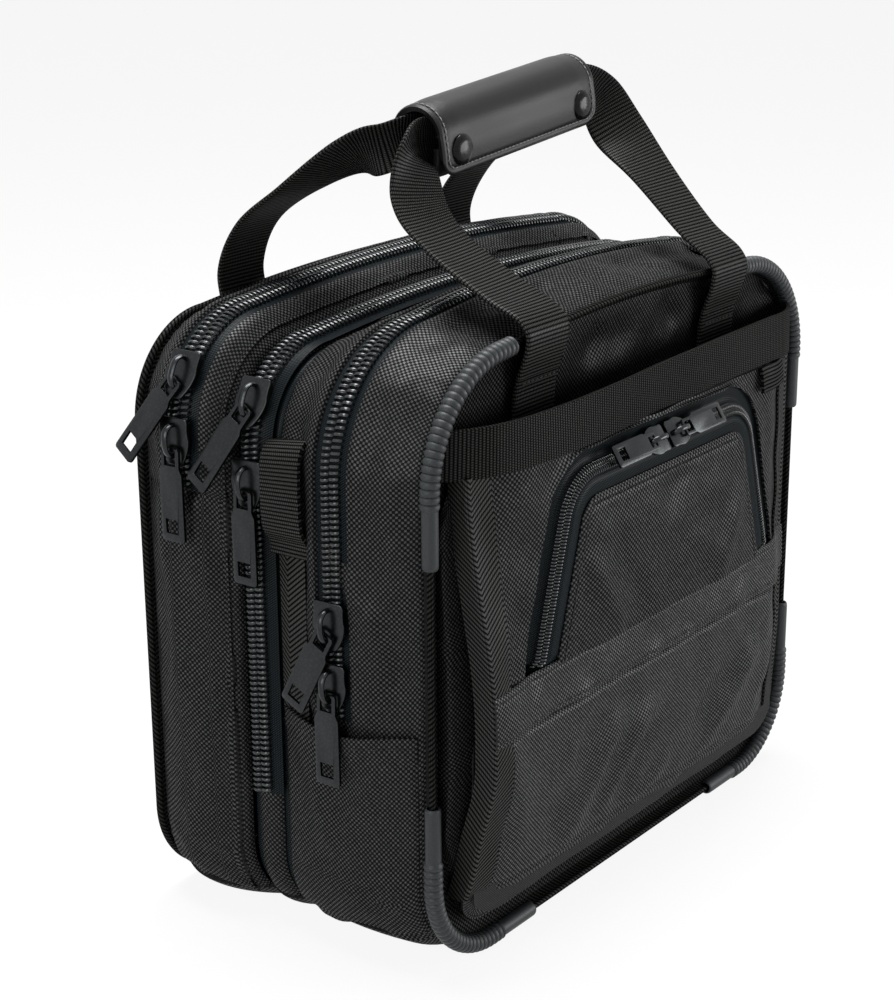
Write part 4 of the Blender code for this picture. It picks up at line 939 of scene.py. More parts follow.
def rear_bulge(x, z):
    gap = rim_gap(x, z)
    return 0.0025 * ease(gap, 0.0, 0.02) + 0.0012 * ripple(x, z, 0.08, 6.0) * ease(gap, 0.005, 0.03)


def board_bulge(x, z):
    return 0.0002 * ripple(x, z, 0.1, 1.0)


place = panel_place(SEAM_Y[0], FRONT, 0.0, front_bulge)
# The front panel takes the darker nylon, with painted shade.
cloth_panel("front_panel_cloth", 90, 84, place, 0.0022, NYLON_PAINTED_SHADE, nodes=["front_panel"], upright=True)
place = panel_place(SEAM_Y[3], REAR, 0.0, rear_bulge)
cloth_panel("rear_panel_cloth", 90, 84, place, 0.0022, nodes=["rear_panel"], upright=True)
for word, seam, lobe in (("front", 1, MIDDLE), ("rear", 2, REAR)):
    place = panel_place(SEAM_Y[seam], lobe, 0.0045, board_bulge)
    name, nodes = f"{word}_divider_cloth", [f"{word}_divider"]
    cloth_panel(name, 40, 40, place, 0.001, LINING, "divider_lining", nodes=nodes, upright=True)

# %% [markdown]
# ## Zips
# A zip's tape lies in the gap between two hems.
# Over the top it is split along the chain: one half stays, and the other lifts with its mouth.
# The measure v runs along a zip from the middle of the top: one number leads from left foot to right foot.

# %% Zip tapes
TAPE_HALF, NARROW_HALF = 0.0104, 0.0084


def crest_u(v):
    return np.where(v >= 0, 5 - v, -5 - v)


def crest_reach(lobe):
    """v at a zip's foot, and v where the top ends and the side begins."""
    y = np.array(ZIP_Y[lobe])
    return float(5 - side_u(ZIP_FOOT[lobe], y, lobe)), float(5 - top_u(TOP_HALF, y, lobe))


def make_tape(name, lobe, low, high, near, far, body, nodes=()):
    rows = int(np.clip((high - low) * 45, 24, 150))

    def place(across, along):
        v = low + (high - low) * along
        return drape(crest_u(v), ZIP_Y[lobe] + near + (far - near) * across, lobe, 0.0008 + 0 * v)

    cloth_panel(name, 10, rows, place, 0.0006, TAPE, "zip_coil", body, nodes)


for word, lobe in (("front", FRONT), ("rear", REAR)):
    foot, brow = crest_reach(lobe)
    make_tape(f"{word}_zip_tape_fixed", lobe, -foot, foot, -TAPE_HALF, 0.0, "bag", [f"{word}_zip"])
    make_tape(f"{word}_zip_tape_left", lobe, -foot, -brow, 0.0, TAPE_HALF, "bag")
    make_tape(f"{word}_zip_tape_right", lobe, brow, foot, 0.0, TAPE_HALF, "bag")
    make_tape(f"{word}_zip_tape_mouth", lobe, -brow, brow, 0.0, TAPE_HALF, f"{word}_mouth")
foot, brow = crest_reach(MIDDLE)
make_tape("middle_zip_tape_left", MIDDLE, -foot, -brow, -NARROW_HALF, NARROW_HALF, "bag", ["middle_zip_left"])
make_tape("middle_zip_tape_right", MIDDLE, brow, foot, -NARROW_HALF, NARROW_HALF, "bag", ["middle_zip_right"])
make_tape("middle_zip_tape_mouth", MIDDLE, -brow, brow, -NARROW_HALF, NARROW_HALF, "middle_mouth")
near, far = SEAM_Y[1] + SEAM_EDGE, SEAM_Y[2] - SEAM_EDGE
make_top("middle_mouth_cloth", MIDDLE, near, far, "middle_mouth_flap", "middle_mouth")

# %% [markdown]
# The chain is two spirals of nylon, one on each half of the tape, that hook into each other in the middle.
# One turn of a spiral is swept as a small bent rod.
# Copies of it follow the zip in two columns, half a step apart.


# %% Rods and copies
def sweep(name, line, first, second, rings):
    """A rod: at each point of a line, a ring of offsets in two directions."""
    closed = np.concatenate([rings, rings[:, :1]], axis=1)
    laid = line[:, None] + closed[..., :1] * first[:, None] + closed[..., 1:] * second[:, None]
    piece = lay_grid(name, rings.shape[1], len(line) - 1, lambda across, along: laid.reshape(-1, 3))
    close_tube(piece)
    return piece


def round_ring(width, thick, count):
    angle = np.arange(count) / count * math.tau
    return stack(width * np.cos(angle), thick * np.sin(angle))


def strew(name, shape, places, across, along, out):
    """Copies of a small shape, one at each place, joined as one piece."""
    bpy.ops.object.select_all(action="DESELECT")
    copies = []
    for spot, a, b, c in zip(places, across, along, out):
        copy = bpy.data.objects.new(name, shape.data.copy())
        turn = Matrix((a, b, c)).transposed().to_4x4()
        turn.translation = Vector(spot)
        copy.data.transform(turn)
        bpy.context.scene.collection.objects.link(copy)
        copy.select_set(True)
        copies.append(copy)
    bpy.context.view_layer.objects.active = copies[0]
    bpy.ops.object.join()
    copies[0].name = name
    copies[0].data.name = name
    return copies[0]


def bent_rod(name, path, rings, slant=0.0):
    """A rod along a path in x and z, whose y may slant."""
    ahead = unit(np.gradient(path, axis=0))
    line = stack(path[:, 0], slant, path[:, 1])
    first = stack(-ahead[:, 1], 0, ahead[:, 0])
    return sweep(name, line, first, np.zeros_like(first) + np.array([0.0, 1.0, 0.0]), rings)


def coil_turn():
    path = np.array([(4.6, 0.9), (4.9, 1.7), (4.5, 2.6), (3.2, 3.1), (1.6, 3.1), (0.4, 2.5), (-0.1, 1.4)])
    rings = np.repeat(round_ring(0.0006, 0.00072, 6)[None], len(path), axis=0)
    return bent_rod("coil_turn", path / 1000, rings, np.linspace(0.0005, -0.0005, len(path)))


COIL_TURN = coil_turn()
COIL_PITCH = 0.0026
print("one coil turn:", len(COIL_TURN.data.polygons), "faces")

# %% [markdown]
# Equal steps along the zip come from its measured length.
# Each copy stands on the skin: one axis points across the zip, one along it and one out.


# %% Zip chains
def zip_steps(lobe, start):
    foot, brow = crest_reach(lobe)
    v = np.linspace(-foot, foot, 900)
    length = run_length(skin(crest_u(v), ZIP_Y[lobe] + 0 * v, lobe))
    return np.interp(np.arange(start, length[-1], COIL_PITCH), length, v)


def zip_axes(v, lobe):
    u, y = crest_u(v), ZIP_Y[lobe] + 0 * v
    out = skin_out(u, y, lobe)
    along = unit(skin(crest_u(v - 0.001), y, lobe) - skin(crest_u(v + 0.001), y, lobe))
    return skin(u, y, lobe), unit(np.cross(along, out)), along, out


def make_chain(name, lobe, column, keep, body):
    v = zip_steps(lobe, COIL_PITCH * (0.5 if column > 0 else 1.0))
    v = v[keep(v)]
    place, across, along, out = zip_axes(v, lobe)
    piece = strew(name, COIL_TURN, place, across * column, along * column, out)
    dress(piece, COIL, "zip_coil", body)
    print(name, len(v), "turns")


for word, lobe in (("front", FRONT), ("rear", REAR)):
    brow = crest_reach(lobe)[1]
    make_chain(f"{word}_coil_fixed", lobe, -1, lambda v: np.abs(v) < 9, "bag")
    make_chain(f"{word}_coil_sides", lobe, 1, lambda v: np.abs(v) >= brow, "bag")
    make_chain(f"{word}_coil_mouth", lobe, 1, lambda v: np.abs(v) < brow, f"{word}_mouth")
brow = crest_reach(MIDDLE)[1]
for column, word in ((-1, "near"), (1, "far")):
    make_chain(f"middle_coil_{word}", MIDDLE, column, lambda v: np.abs(v) >= brow, "bag")
    make_chain(f"middle_coil_mouth_{word}", MIDDLE, column, lambda v: np.abs(v) < brow, "middle_mouth")

# %% [markdown]
# ## Piping and corner guards
# A cord wrapped in cloth runs round the front panel's seam, with a thin fin that is sewn into the seam.
# On the corners it lies in moulded rubber guards.
# They are slit sleeves with a run of close ribs that bend round the corner.

# %% Piping
PIPE_Y, PIPE_OFFSET = -0.0768, 0.0027


def rim_line(seam, lobe, offset, depth):
    """The panel's outline moved out, from the base's middle up the right side to the middle of the top."""
    u = np.concatenate([np.linspace(0, 1, 40), np.linspace(1, 2, 40)[1:], np.linspace(2, 3, 80)[1:]])
    u = np.concatenate([u, np.linspace(3, 4, 60)[1:], np.linspace(4, 5, 40)[1:]])
    flat = skin(u, seam + 0 * u, lobe)[:, [0, 2]]
    ahead = unit(np.gradient(flat, axis=0))
    out = stack(ahead[:, 1], -ahead[:, 0])
    moved = flat + out * offset
    line = stack(moved[:, 0], depth + 0 * u, moved[:, 1])
    return u, line, stack(out[:, 0], 0 * u, out[:, 1])


def mirrored(points):
    return points * np.array([-1.0, 1.0, 1.0])


def keyhole(radius, reach, thick, count=14):
    """Ring of a cord with a fin that points in and back."""
    angle = np.radians(225) + np.linspace(math.radians(24), math.radians(336), count)
    ring = [(radius * math.cos(a), radius * math.sin(a)) for a in angle]
    for side in (1, -1):
        ring.append((-reach * 0.707 - side * thick * 0.707, -reach * 0.707 + side * thick * 0.707))
    return np.array(ring)


def make_piping(name, seam, lobe, offset, depth, facing, ring, node):
    u, line, out = rim_line(seam, lobe, offset, depth)
    line = np.concatenate([line, mirrored(line)[::-1][1:]])
    out = np.concatenate([out, mirrored(out)[::-1][1:]])
    front = np.zeros_like(out) + np.array([0.0, facing, 0.0])
    piece = sweep(name, line, out, front, np.repeat(ring[None], len(line), axis=0))
    dress(piece, WELT, "webbing", nodes=[node], sharp=75)
    print(name, len(piece.data.polygons), "faces")


front_ring, rear_ring = keyhole(0.0016, 0.0062, 0.0006), keyhole(0.002, 0.0045, 0.0006)
make_piping("front_piping_cord", SEAM_Y[0], FRONT, PIPE_OFFSET, PIPE_Y, -1.0, front_ring, "front_piping")
make_piping("rear_piping_cord", SEAM_Y[3], REAR, 0.0017, SEAM_Y[3] + 0.0014, 1.0, rear_ring, "rear_piping")

# %% [markdown]
# The guards follow the same line.
# Their radius changes along it: plain at the sleeves, in close waves on the corner.

# %% Corner guards
GUARD_BORE, SLEEVE_RADIUS, RIB_RADIUS, GROOVE_RADIUS = 0.0027, 0.0036, 0.0043, 0.0033
SLEEVE, RIB_RUN, RIB_END, RIB_PITCH = 0.026, 0.012, 0.006, 0.0031
TOP_RUN = 0.004


def guard_ring(radius):
    slit = math.radians(15)
    outer = math.radians(225) + np.linspace(slit, math.tau - slit, 24)
    inner = outer[::-2]
    ring = [(radius * math.cos(a), radius * math.sin(a)) for a in outer]
    return ring + [(GUARD_BORE * math.cos(a), GUARD_BORE * math.sin(a)) for a in inner]


def make_guard(name, top, side, node):
    u, line, out = rim_line(SEAM_Y[0], FRONT, PIPE_OFFSET, PIPE_Y)
    length = run_length(line)
    if top:
        start = np.interp(3, u, length) - TOP_RUN - SLEEVE
        ends = (start, np.interp(4, u, length) + RIB_END)
    else:
        start = np.interp(2, u, length) + RIB_RUN + SLEEVE
        ends = (start, np.interp(1, u, length) - RIB_END - SLEEVE)
    total = abs(ends[1] - ends[0])
    run = np.arange(0, total, RIB_PITCH / 8)
    rib_end = total - (0.0008 if top else SLEEVE)
    ribbed = (run > SLEEVE) & (run < rib_end)
    wave = np.abs(np.sin((run - SLEEVE) * math.pi / RIB_PITCH)) ** 0.4
    radius = np.where(ribbed, GROOVE_RADIUS + (RIB_RADIUS - GROOVE_RADIUS) * wave, SLEEVE_RADIUS)
    radius = radius - 0.0006 * np.exp(-run / 0.0006) - 0.0006 * np.exp(-(total - run) / 0.0006)
    at = ends[0] + (run if top else -run)
    path = along_line(at, length, line)
    away = unit(along_line(at, length, out))
    if side == LEFT:
        path, away = mirrored(path), mirrored(away)
    front = np.zeros_like(away) + np.array([0.0, -1.0, 0.0])
    piece = sweep(name, path, away, front, np.array([guard_ring(r) for r in radius]))
    dress(piece, RUBBER, "guard_rubber", nodes=[node], sharp=60)
    print(name, int((rib_end - SLEEVE) / RIB_PITCH), "ribs")


for side, hand in HANDS:
    make_guard(f"top_corner_guard_{hand}", True, side, f"guard_top_{hand}")
    make_guard(f"bottom_corner_guard_{hand}", False, side, f"guard_bottom_{hand}")

# %% [markdown]
# ## Front pocket
# The pocket hangs on the front panel. It is shallow at its mouth and foot, and swells in between.
# Its face has one lower panel, one panel round the zipped flap, and the flap, which stands a little proud.
# Soft folds run down the lower face, where its filling sags.

# %% Pocket shape
POCKET_HALF, POCKET_FLOOR, POCKET_CORNER, MOUTH_Z = 0.138, 0.018, 0.022, 0.2297
POCKET_FACE, HEM_LOW, HEM_HIGH, TAPE_FOOT = -0.0915, 0.1125, 0.1362, 0.129
FLAP_FOOT, FLAP_TOP, FLAP_FOOT_HALF, FLAP_TOP_HALF, FLAP_CORNER = 0.13635, 0.217, 0.100, 0.076, 0.024
FACE_FOLDS = (
    ((-0.004, 0.094), (-0.044, 0.044), 0.0070, 0.0042),
    ((0.012, 0.090), (-0.030, 0.040), 0.0065, -0.0024),
    ((-0.030, 0.098), (-0.074, 0.034), 0.0075, 0.0036),
    ((-0.050, 0.100), (-0.092, 0.044), 0.0080, -0.0024),
    ((0.098, 0.088), (0.055, 0.042), 0.0075, 0.0034),
    ((0.080, 0.092), (0.036, 0.052), 0.0080, -0.0022),
    ((-0.073, 0.098), (-0.071, 0.064), 0.0065, 0.0024),
    ((0.020, 0.052), (-0.014, 0.034), 0.0050, 0.0024),
    ((0.125, 0.100), (0.108, 0.050), 0.0070, 0.0024),
    ((-0.122, 0.104), (-0.106, 0.050), 0.0070, 0.0020),
    ((-0.027, 0.027), (-0.045, 0.022), 0.0040, 0.0016),
    ((0.040, 0.030), (0.026, 0.022), 0.0040, 0.0016),
)


def pocket_depth(x, z):
    """How far the pocket's face stands before the front panel."""
    full = 0.003 + 0.0125 * ease(z, 0.014, 0.042) + 0.0058 * ease(z, 0.034, 0.088)
    full = full - 0.0033 * ease(z, 0.104, 0.146)
    edge = 0.003 + 0.0105 * ease(z, 0.016, 0.058) + 0.0120 * ease(z, 0.048, 0.104)
    edge = edge - 0.0150 * ease(z, 0.118, 0.232)
    full = full + (edge - full) * ease(-x, 0.100, 0.138)
    full = full * (1 - 0.55 * ease(x, 0.104, 0.138))
    seam = -0.0020 * bell(z - 0.0365, 0.0013) - 0.0018 * bell(z - HEM_LOW + 0.0012, 0.0013)
    held = ease(POCKET_HALF - np.abs(x), -0.001, 0.016)
    folds = ease(-z, -0.118, -0.100) * 0.85 * creases(x, z, FACE_FOLDS)
    waves = 0.0008 * ripple(x, z, 0.05, 9.0)
    return full * (0.92 + 0.08 * held) + held * (folds + seam + waves)


def face_y(x, z):
    return SEAM_Y[0] - pocket_depth(x, z)


def pocket_foot(x):
    bend = np.clip(np.abs(x) - (POCKET_HALF - POCKET_CORNER), 0, POCKET_CORNER)
    return POCKET_FLOOR + POCKET_CORNER - np.sqrt(np.clip(POCKET_CORNER**2 - bend**2, 0, None))


def flap_line(shift, count, foot=FLAP_FOOT):
    """The pocket zip's U from its left foot over the top to its right foot, moved out by shift."""
    lean = math.atan((FLAP_FOOT_HALF - FLAP_TOP_HALF) / (FLAP_TOP - FLAP_FOOT))
    radius = FLAP_CORNER + shift
    inset = FLAP_CORNER * math.tan(math.pi / 4 - lean / 2)
    centre = np.array([FLAP_TOP_HALF - inset, FLAP_TOP - FLAP_CORNER])
    start = centre + radius * np.array([math.cos(lean), math.sin(lean)])
    down = np.linspace((start[1] - foot) / math.cos(lean), 0, 40)
    leg = start + down[:, None] * np.array([math.sin(lean), -math.cos(lean)])
    turn = np.linspace(lean, math.pi / 2, 30)[1:]
    bend = centre + radius * stack(np.cos(turn), np.sin(turn))
    facing = np.concatenate([0 * down + lean, turn])
    right = np.concatenate([leg, bend])
    line = np.concatenate([right * np.array([-1, 1]), right[::-1]])
    out = stack(np.cos(facing), np.sin(facing))
    out = np.concatenate([out * np.array([-1, 1]), out[::-1]])
    length = run_length(line)
    at = np.linspace(0, length[-1], count)
    return along_line(at, length, line), unit(along_line(at, length, out))


mid_depth = float(pocket_depth(np.array(0.0), np.array(0.1)))
print("pocket depth at mid height:", round(mid_depth * 1000, 1), "mm")

# %% [markdown]
# The lower face ends under the hem strip. The upper one is a broad U between the zip and the pocket's edges.


# %% Pocket faces
def place_lower(across, along):
    x = round_columns(across, POCKET_HALF, POCKET_CORNER)
    foot = pocket_foot(x)
    z = foot + (HEM_HIGH - 0.003 - foot) * along
    return stack(x, face_y(x, z), z)


def place_upper(across, along):
    line, out = flap_line(0.0108, 401, TAPE_FOOT)
    index = np.rint(along * 400).astype(int)
    inner = line[index]
    turn = 0.34
    climb = np.clip(along / turn, 0, 1)
    back_down = np.clip((1 - along) / turn, 0, 1)
    x = np.clip((along - turn) / (1 - 2 * turn), 0, 1) * 2 - 1
    z = TAPE_FOOT + (MOUTH_Z - TAPE_FOOT) * np.minimum(climb, back_down)
    outer = stack(x * POCKET_HALF, z)
    flat = inner + (outer - inner) * across[:, None]
    gap = np.linalg.norm(flat - inner, axis=-1)
    hem = 0.0014 * bell(gap, 0.007)
    return stack(flat[:, 0], face_y(flat[:, 0], flat[:, 1]) - hem, flat[:, 1])


# The lower face takes the lighter nylon, with painted light.
cloth_panel(
    "pocket_lower_face", 130, 72, place_lower, 0.0012, NYLON_PAINTED_LIGHT, nodes=["pocket_face"], rests="front_panel"
)
cloth_panel("pocket_upper_face", 22, 200, place_upper, 0.0012, rests="front_panel", upright=True)

# %% [markdown]
# The side wall joins the pocket's face to the front panel.
# It spreads at its root and tucks in behind the binding, and it dips where the filling doesn't reach.
# A flat lining stands behind the face.

# %% Pocket wall and lining
WALL_SPREAD, WALL_TUCK, WALL_SWELL = 0.0090, 0.0080, 0.0047
WALL_DIPS = ((0.203, 0.0040), (0.156, 0.0040), (0.098, 0.0030))


def place_wall(across, along):
    """Down the left edge, along the foot and up the right edge, from the panel out to the face."""
    corner = np.linspace(0, math.pi / 2, 16)
    wide = POCKET_HALF - POCKET_CORNER * (1 - np.cos(corner))
    bend = stack(wide, POCKET_FLOOR + POCKET_CORNER * (1 - np.sin(corner)))
    right = np.concatenate([[(POCKET_HALF, MOUTH_Z)], bend])
    line = np.concatenate([right * np.array([-1, 1]), right[::-1]])
    length = run_length(line)
    x, z = along_line(along * length[-1], length, line).T
    swell = np.sin(across * math.pi)
    inward = unit(np.array([0.0, 0.12]) - stack(x, z)) * (0.0012 + 0.0035 * swell)[:, None]
    depth = (pocket_depth(x, z) - 0.001) * across
    upright = ease(np.abs(x), POCKET_HALF - 0.004, POCKET_HALF - 0.0005)
    upright = upright * ease(z, 0.040, 0.070) * ease(-z, -0.2285, -0.2080)
    tuck = ease(across, 0.26, 0.52)
    spread = WALL_SPREAD * (1 - tuck) - WALL_TUCK * tuck
    for height, dip in WALL_DIPS:
        slant = z - height - 0.006 * across
        spread = spread - dip * bell(slant, 0.0055) * ease(across, 0.05, 0.4)
    away = np.sign(x) * upright * (spread + WALL_SWELL * swell)
    return stack(x + inward[:, 0] + away, SEAM_Y[0] - 0.0004 - depth, z + inward[:, 1])


def place_lining(across, along):
    x = round_columns(across, POCKET_HALF - 0.004, POCKET_CORNER)
    foot = pocket_foot(x) + 0.006
    z = foot + (MOUTH_Z - 0.004 - foot) * along
    return stack(x, -0.0836 + 0.0004 * ripple(x, z, 0.08, 4.0), z)


# The side wall takes the darker nylon, with painted shade.
cloth_panel(
    "pocket_side_wall", 32, 200, place_wall, 0.0011, NYLON_PAINTED_SHADE, nodes=["pocket_wall"], rests="front_panel"
)
cloth_panel(
    "pocket_lining_cloth", 50, 40, place_lining, 0.0008, LINING, nodes=["pocket_lining"], rests="front_panel",
    upright=True,
)

# %% [markdown]
# The flap is padded by what lies behind it, and wrinkles run in from its feet.
# Its foot stays sewn in the seam.

# %% Pocket flap
FLAP_FOLDS = (
    ((-0.069, 0.182), (-0.040, 0.136), 0.0075, 0.0026),
    ((0.066, 0.182), (0.042, 0.132), 0.0075, 0.0026),
    ((-0.050, 0.190), (-0.020, 0.140), 0.0085, -0.0014),
    ((0.020, 0.206), (-0.010, 0.186), 0.0090, -0.0018),
    ((0.015, 0.170), (0.050, 0.150), 0.0080, 0.0012),
)


def place_flap(across, along):
    line, out = flap_line(-0.0105, 401)
    top = int(np.argmax(line[:, 1] > line[:, 1].max() - 1e-5))
    length = run_length(line[: top + 1])
    left, z = along_line(along * length[-1], length, line[: top + 1]).T
    half = -left
    x = half * (2 * across - 1)
    edge = np.minimum(half - np.abs(x), line[:, 1].max() - z)
    puff = 0.0022 * ease(edge, 0.0, 0.03) - 0.0012 * bell(edge, 0.0018) - 0.0006 * bell(edge - 0.004, 0.0009)
    wrinkles = creases(x, z, FLAP_FOLDS) * ease(edge, 0.002, 0.012)
    waves = 0.0006 * ripple(x, z, 0.045, 12.0) * ease(edge, 0.003, 0.02)
    return stack(x, POCKET_FACE - 0.0066 - puff - wrinkles - waves, z)


def bend_with_flap(piece):
    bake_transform(piece)


flap = cloth_panel(
    "pocket_flap_cloth", 90, 60, place_flap, 0.0014, body="", nodes=["pocket_flap"], rests="pocket_face",
    upright=True,
)
bend_with_flap(flap)

# %% [markdown]
# The zip round the flap leans outwards, so its tape is laid on a slope between the flap and the face.
# Its chain is finer than the others. The outer half stays on the bag, and the inner half is not attached to a
# body.

# %% Pocket zip
POCKET_TAPE, FINE = 0.0125, 0.58
SLOPE = math.radians(33)
TAPE_CENTRE = (0, 0, 0.18)
TAPE_STOPS = (-POCKET_TAPE, -0.0046, 0.0046, POCKET_TAPE)
TAPE_RISE = (0.0046, 0.0050, -0.0010, -0.0006)


def foot_sink(z):
    """The zip's feet dip under the hem strip."""
    return 0.0026 * ease(-z, -0.1400, -0.1360)


def place_pocket_tape(low, high):
    def place(across, along):
        line, out = flap_line(0.0, 401, TAPE_FOOT)
        index = np.rint(along * 400).astype(int)
        off = low + (high - low) * across
        rise = np.interp(off, TAPE_STOPS, TAPE_RISE)
        x, z = (line[index] + out[index] * off[:, None]).T
        return stack(x, POCKET_FACE - rise + foot_sink(z), z)

    return place


place = place_pocket_tape(-POCKET_TAPE, 0.0)
inner = cloth_panel("pocket_zip_tape_inner", 8, 200, place, 0.0006, TAPE, "zip_coil", "", inside=TAPE_CENTRE)
bend_with_flap(inner)
place = place_pocket_tape(0.0, POCKET_TAPE)
cloth_panel(
    "pocket_zip_tape_outer", 8, 200, place, 0.0006, TAPE, "zip_coil", "bag", ["pocket_zip"], TAPE_CENTRE
)

for column, name in ((-1, "flap_coil"), (1, "pocket_coil")):
    line, out = flap_line(0.0, 2001)
    length = run_length(line)
    steps = np.arange(COIL_PITCH * (0.2 if column > 0 else 0.6), length[-1], COIL_PITCH * FINE)
    index = np.searchsorted(length, steps)
    x, z = line[index].T
    spot = stack(x, POCKET_FACE - 0.002 + foot_sink(z), z)
    outward = stack(out[index, 0], 0 * steps, out[index, 1])
    front = np.array([0.0, -1.0, 0.0])
    lateral = outward * math.cos(SLOPE) - front * math.sin(SLOPE)
    normal = front * math.cos(SLOPE) + outward * math.sin(SLOPE)
    along = np.cross(normal, lateral)
    piece = strew(name, COIL_TURN, spot, lateral * column * FINE, along * column * FINE, normal * FINE)
    dress(piece, COIL, "zip_coil", "" if column < 0 else "bag")
    if column < 0:
        bend_with_flap(piece)
    print(piece.name, len(steps), "turns")

# %% [markdown]
# A folded hem strip covers the flap's foot, and a wide band of webbing crosses the pocket's mouth.
# A herringbone binding is folded over both side edges, and a small plain label hangs under the band.

# %% Hem and band
HEM_HALF = POCKET_HALF + 0.0004
HEM_FOLDS = (
    ((-0.061, 0.118), (-0.078, 0.104), 0.004, 0.0014),
    ((-0.001, 0.119), (-0.016, 0.105), 0.004, 0.0014),
    ((0.028, 0.118), (0.015, 0.104), 0.004, 0.0014),
    ((0.080, 0.128), (0.066, 0.112), 0.004, 0.0010),
    ((-0.100, 0.130), (-0.108, 0.114), 0.004, 0.0010),
)


def place_hem(across, along):
    x = HEM_HALF * (2 * across - 1)
    z = HEM_LOW + (HEM_HIGH - HEM_LOW) * along
    edge = np.minimum(z - HEM_LOW, HEM_HIGH - z)
    rounding = -0.0010 * bell(edge, 0.0009) - 0.0005 * bell(edge - 0.0030, 0.0006)
    y = face_y(x, z) - 0.0028 - rounding - creases(x, z, HEM_FOLDS) - 0.0003 * ripple(x, z, 0.03, 3.0)
    return stack(x, y, z)


# The hem strip takes the lighter nylon, with painted light.
cloth_panel(
    "pocket_hem_strip", 160, 24, place_hem, 0.0018, NYLON_PAINTED_LIGHT, "webbing", nodes=["pocket_hem"],
    rests="pocket_face",
)


def smooth_line(points, count):
    """A curve through the points (Catmull-Rom), count steps to each."""
    points = np.asarray(points, float)
    ends = np.concatenate([[2 * points[0] - points[1]], points, [2 * points[-1] - points[-2]]])
    line = []
    for k in range(len(points) - 1):
        a, b, c, d = ends[k : k + 4]
        for t in np.arange(count) / count:
            square = (2 * a - 5 * b + 4 * c - d) * t**2
            line.append(0.5 * (2 * b + (c - a) * t + square + (3 * b - a - 3 * c + d) * t**3))
    return np.array(line + [points[-1]])


BAND_LOW, BAND_HIGH = 0.230, 0.252
BAND_END = [(-0.1455, -0.0756), (-0.1415, -0.0800), (-0.134, -0.0858), (-0.118, -0.0908)]
BAND_END += [(-0.08, -0.0930), (-0.04, -0.0928)]
band_route = smooth_line(BAND_END + [(0.0, -0.0916)] + [(-x, y) for x, y in reversed(BAND_END)], 12)


def place_band(across, along):
    length = run_length(band_route)
    x, y = along_line(along * length[-1], length, band_route).T
    z = BAND_LOW + (BAND_HIGH - BAND_LOW) * across
    sag = 0.0016 * np.sin(x * 23) * ease(0.135 - np.abs(x), 0, 0.03)
    lean = 0.0010 * np.sin(x * 35 + 1) * across
    return stack(x, y - lean, z + sag)


cloth_panel(
    "pocket_mouth_band", 16, 150, place_band, 0.0018, BAND_WEBBING, "webbing", nodes=["pocket_band"],
    rests="pocket_face",
)

# %% [markdown]
# The binding is folded round the pocket's edge: up the wall, over a small turn and onto the face.
# The label is sewn in under the band, and its free lower edge stands a little forward.


# %% Bindings and label
def make_binding(name, side):
    def place(across, along):
        z = 0.036 + (BAND_LOW + 0.001 - 0.036) * along
        face = face_y(POCKET_HALF * side + 0 * z, z)
        back = np.clip((0.42 - across) / 0.42, 0, 1)
        over = np.clip((across - 0.5) / 0.5, 0, 1)
        turn = np.clip((across - 0.42) / 0.08, 0, 1) * math.pi / 2
        x = POCKET_HALF + 0.0002 + 0.0012 * np.cos(turn) - 0.0135 * over
        y = face - 0.0012 * np.sin(turn) + 0.009 * back - 0.0006
        y = np.where(over > 0, face_y(x * side, z) - 0.0016, y)
        return stack(x * side, y, z)

    inside = (side * 0.1, -0.06, 0.14)
    cloth_panel(name, 24, 110, place, 0.0009, BINDING, "webbing", inside=inside, rests="pocket_face")


def place_label(across, along):
    x, z = 0.0920 + 0.0260 * across, 0.2180 + 0.0125 * along
    y = np.minimum(face_y(x, z) - 0.0012, -0.0935 + 0.0035 * across)
    return stack(x, y - 0.0020 * (1 - along) ** 0.5, z)


for side, hand in HANDS:
    make_binding(f"pocket_binding_{hand}", side)
cloth_panel(
    "plain_label", 8, 10, place_label, 0.0016, BAND_WEBBING, "webbing", inside=(0.13, 0.0, 0.21),
    rests="pocket_face", upright=True,
)

# %% [markdown]
# ## Side trim
# Low on each side is an open slip pocket with a turned hem and soft folds.

# %% Side pocket
SLIP_NEAR, SLIP_FAR, SLIP_FOOT = SEAM_Y[0] + 0.005, SEAM_Y[1] - 0.002, 1.62
SLIP_FOLDS = (
    ((-0.058, 0.108), (-0.030, 0.062), 0.006, 0.0022),
    ((-0.006, 0.104), (-0.028, 0.050), 0.007, 0.0018),
)


def make_side_pocket(hand, side):
    """Makes the pocket, and returns the line of its hem's stitches."""

    def place(across, along):
        y = SLIP_NEAR + (SLIP_FAR - SLIP_NEAR) * across
        share = (y - SLIP_NEAR) / (SLIP_FAR - SLIP_NEAR)
        rim = 0.1165 - 0.0035 * np.sin(np.clip(share, 0, 1) * math.pi) ** 2 - 0.002 * share
        u = SLIP_FOOT + (side_u(rim, y, FRONT) - SLIP_FOOT) * along
        z = skin(u, y, FRONT)[:, 2]
        edge = np.minimum(y - SLIP_NEAR, SLIP_FAR - y)
        open_top = 0.0030 * ease(z, 0.070, 0.116) * np.sin(across * math.pi)
        hem = 0.0006 * ease(z, 0.1045, 0.1055) - 0.0005 * bell(z - 0.1035, 0.0009)
        folds = creases(y, z, SLIP_FOLDS) + 0.0010 * ripple(y, z, 0.05, 4.0 + side)
        lift = 0.0016 + open_top + hem + folds * ease(edge, 0.001, 0.012)
        return drape(side * u, y, FRONT, lift - 0.0012 * bell(edge, 0.0012))

    name, nodes = f"side_pocket_cloth_{hand}", [f"side_pocket_{hand}"]
    cloth_panel(name, 56, 64, place, 0.0012, nodes=nodes, rests="front_panel")
    across = np.linspace(0.02, 0.98, 60)
    return place(across, 0 * across + 0.965)


print("slip pocket folds:", len(SLIP_FOLDS))

# %% [markdown]
# Above the pocket a webbing tab stands off the seam, and a flat strip runs down from it.

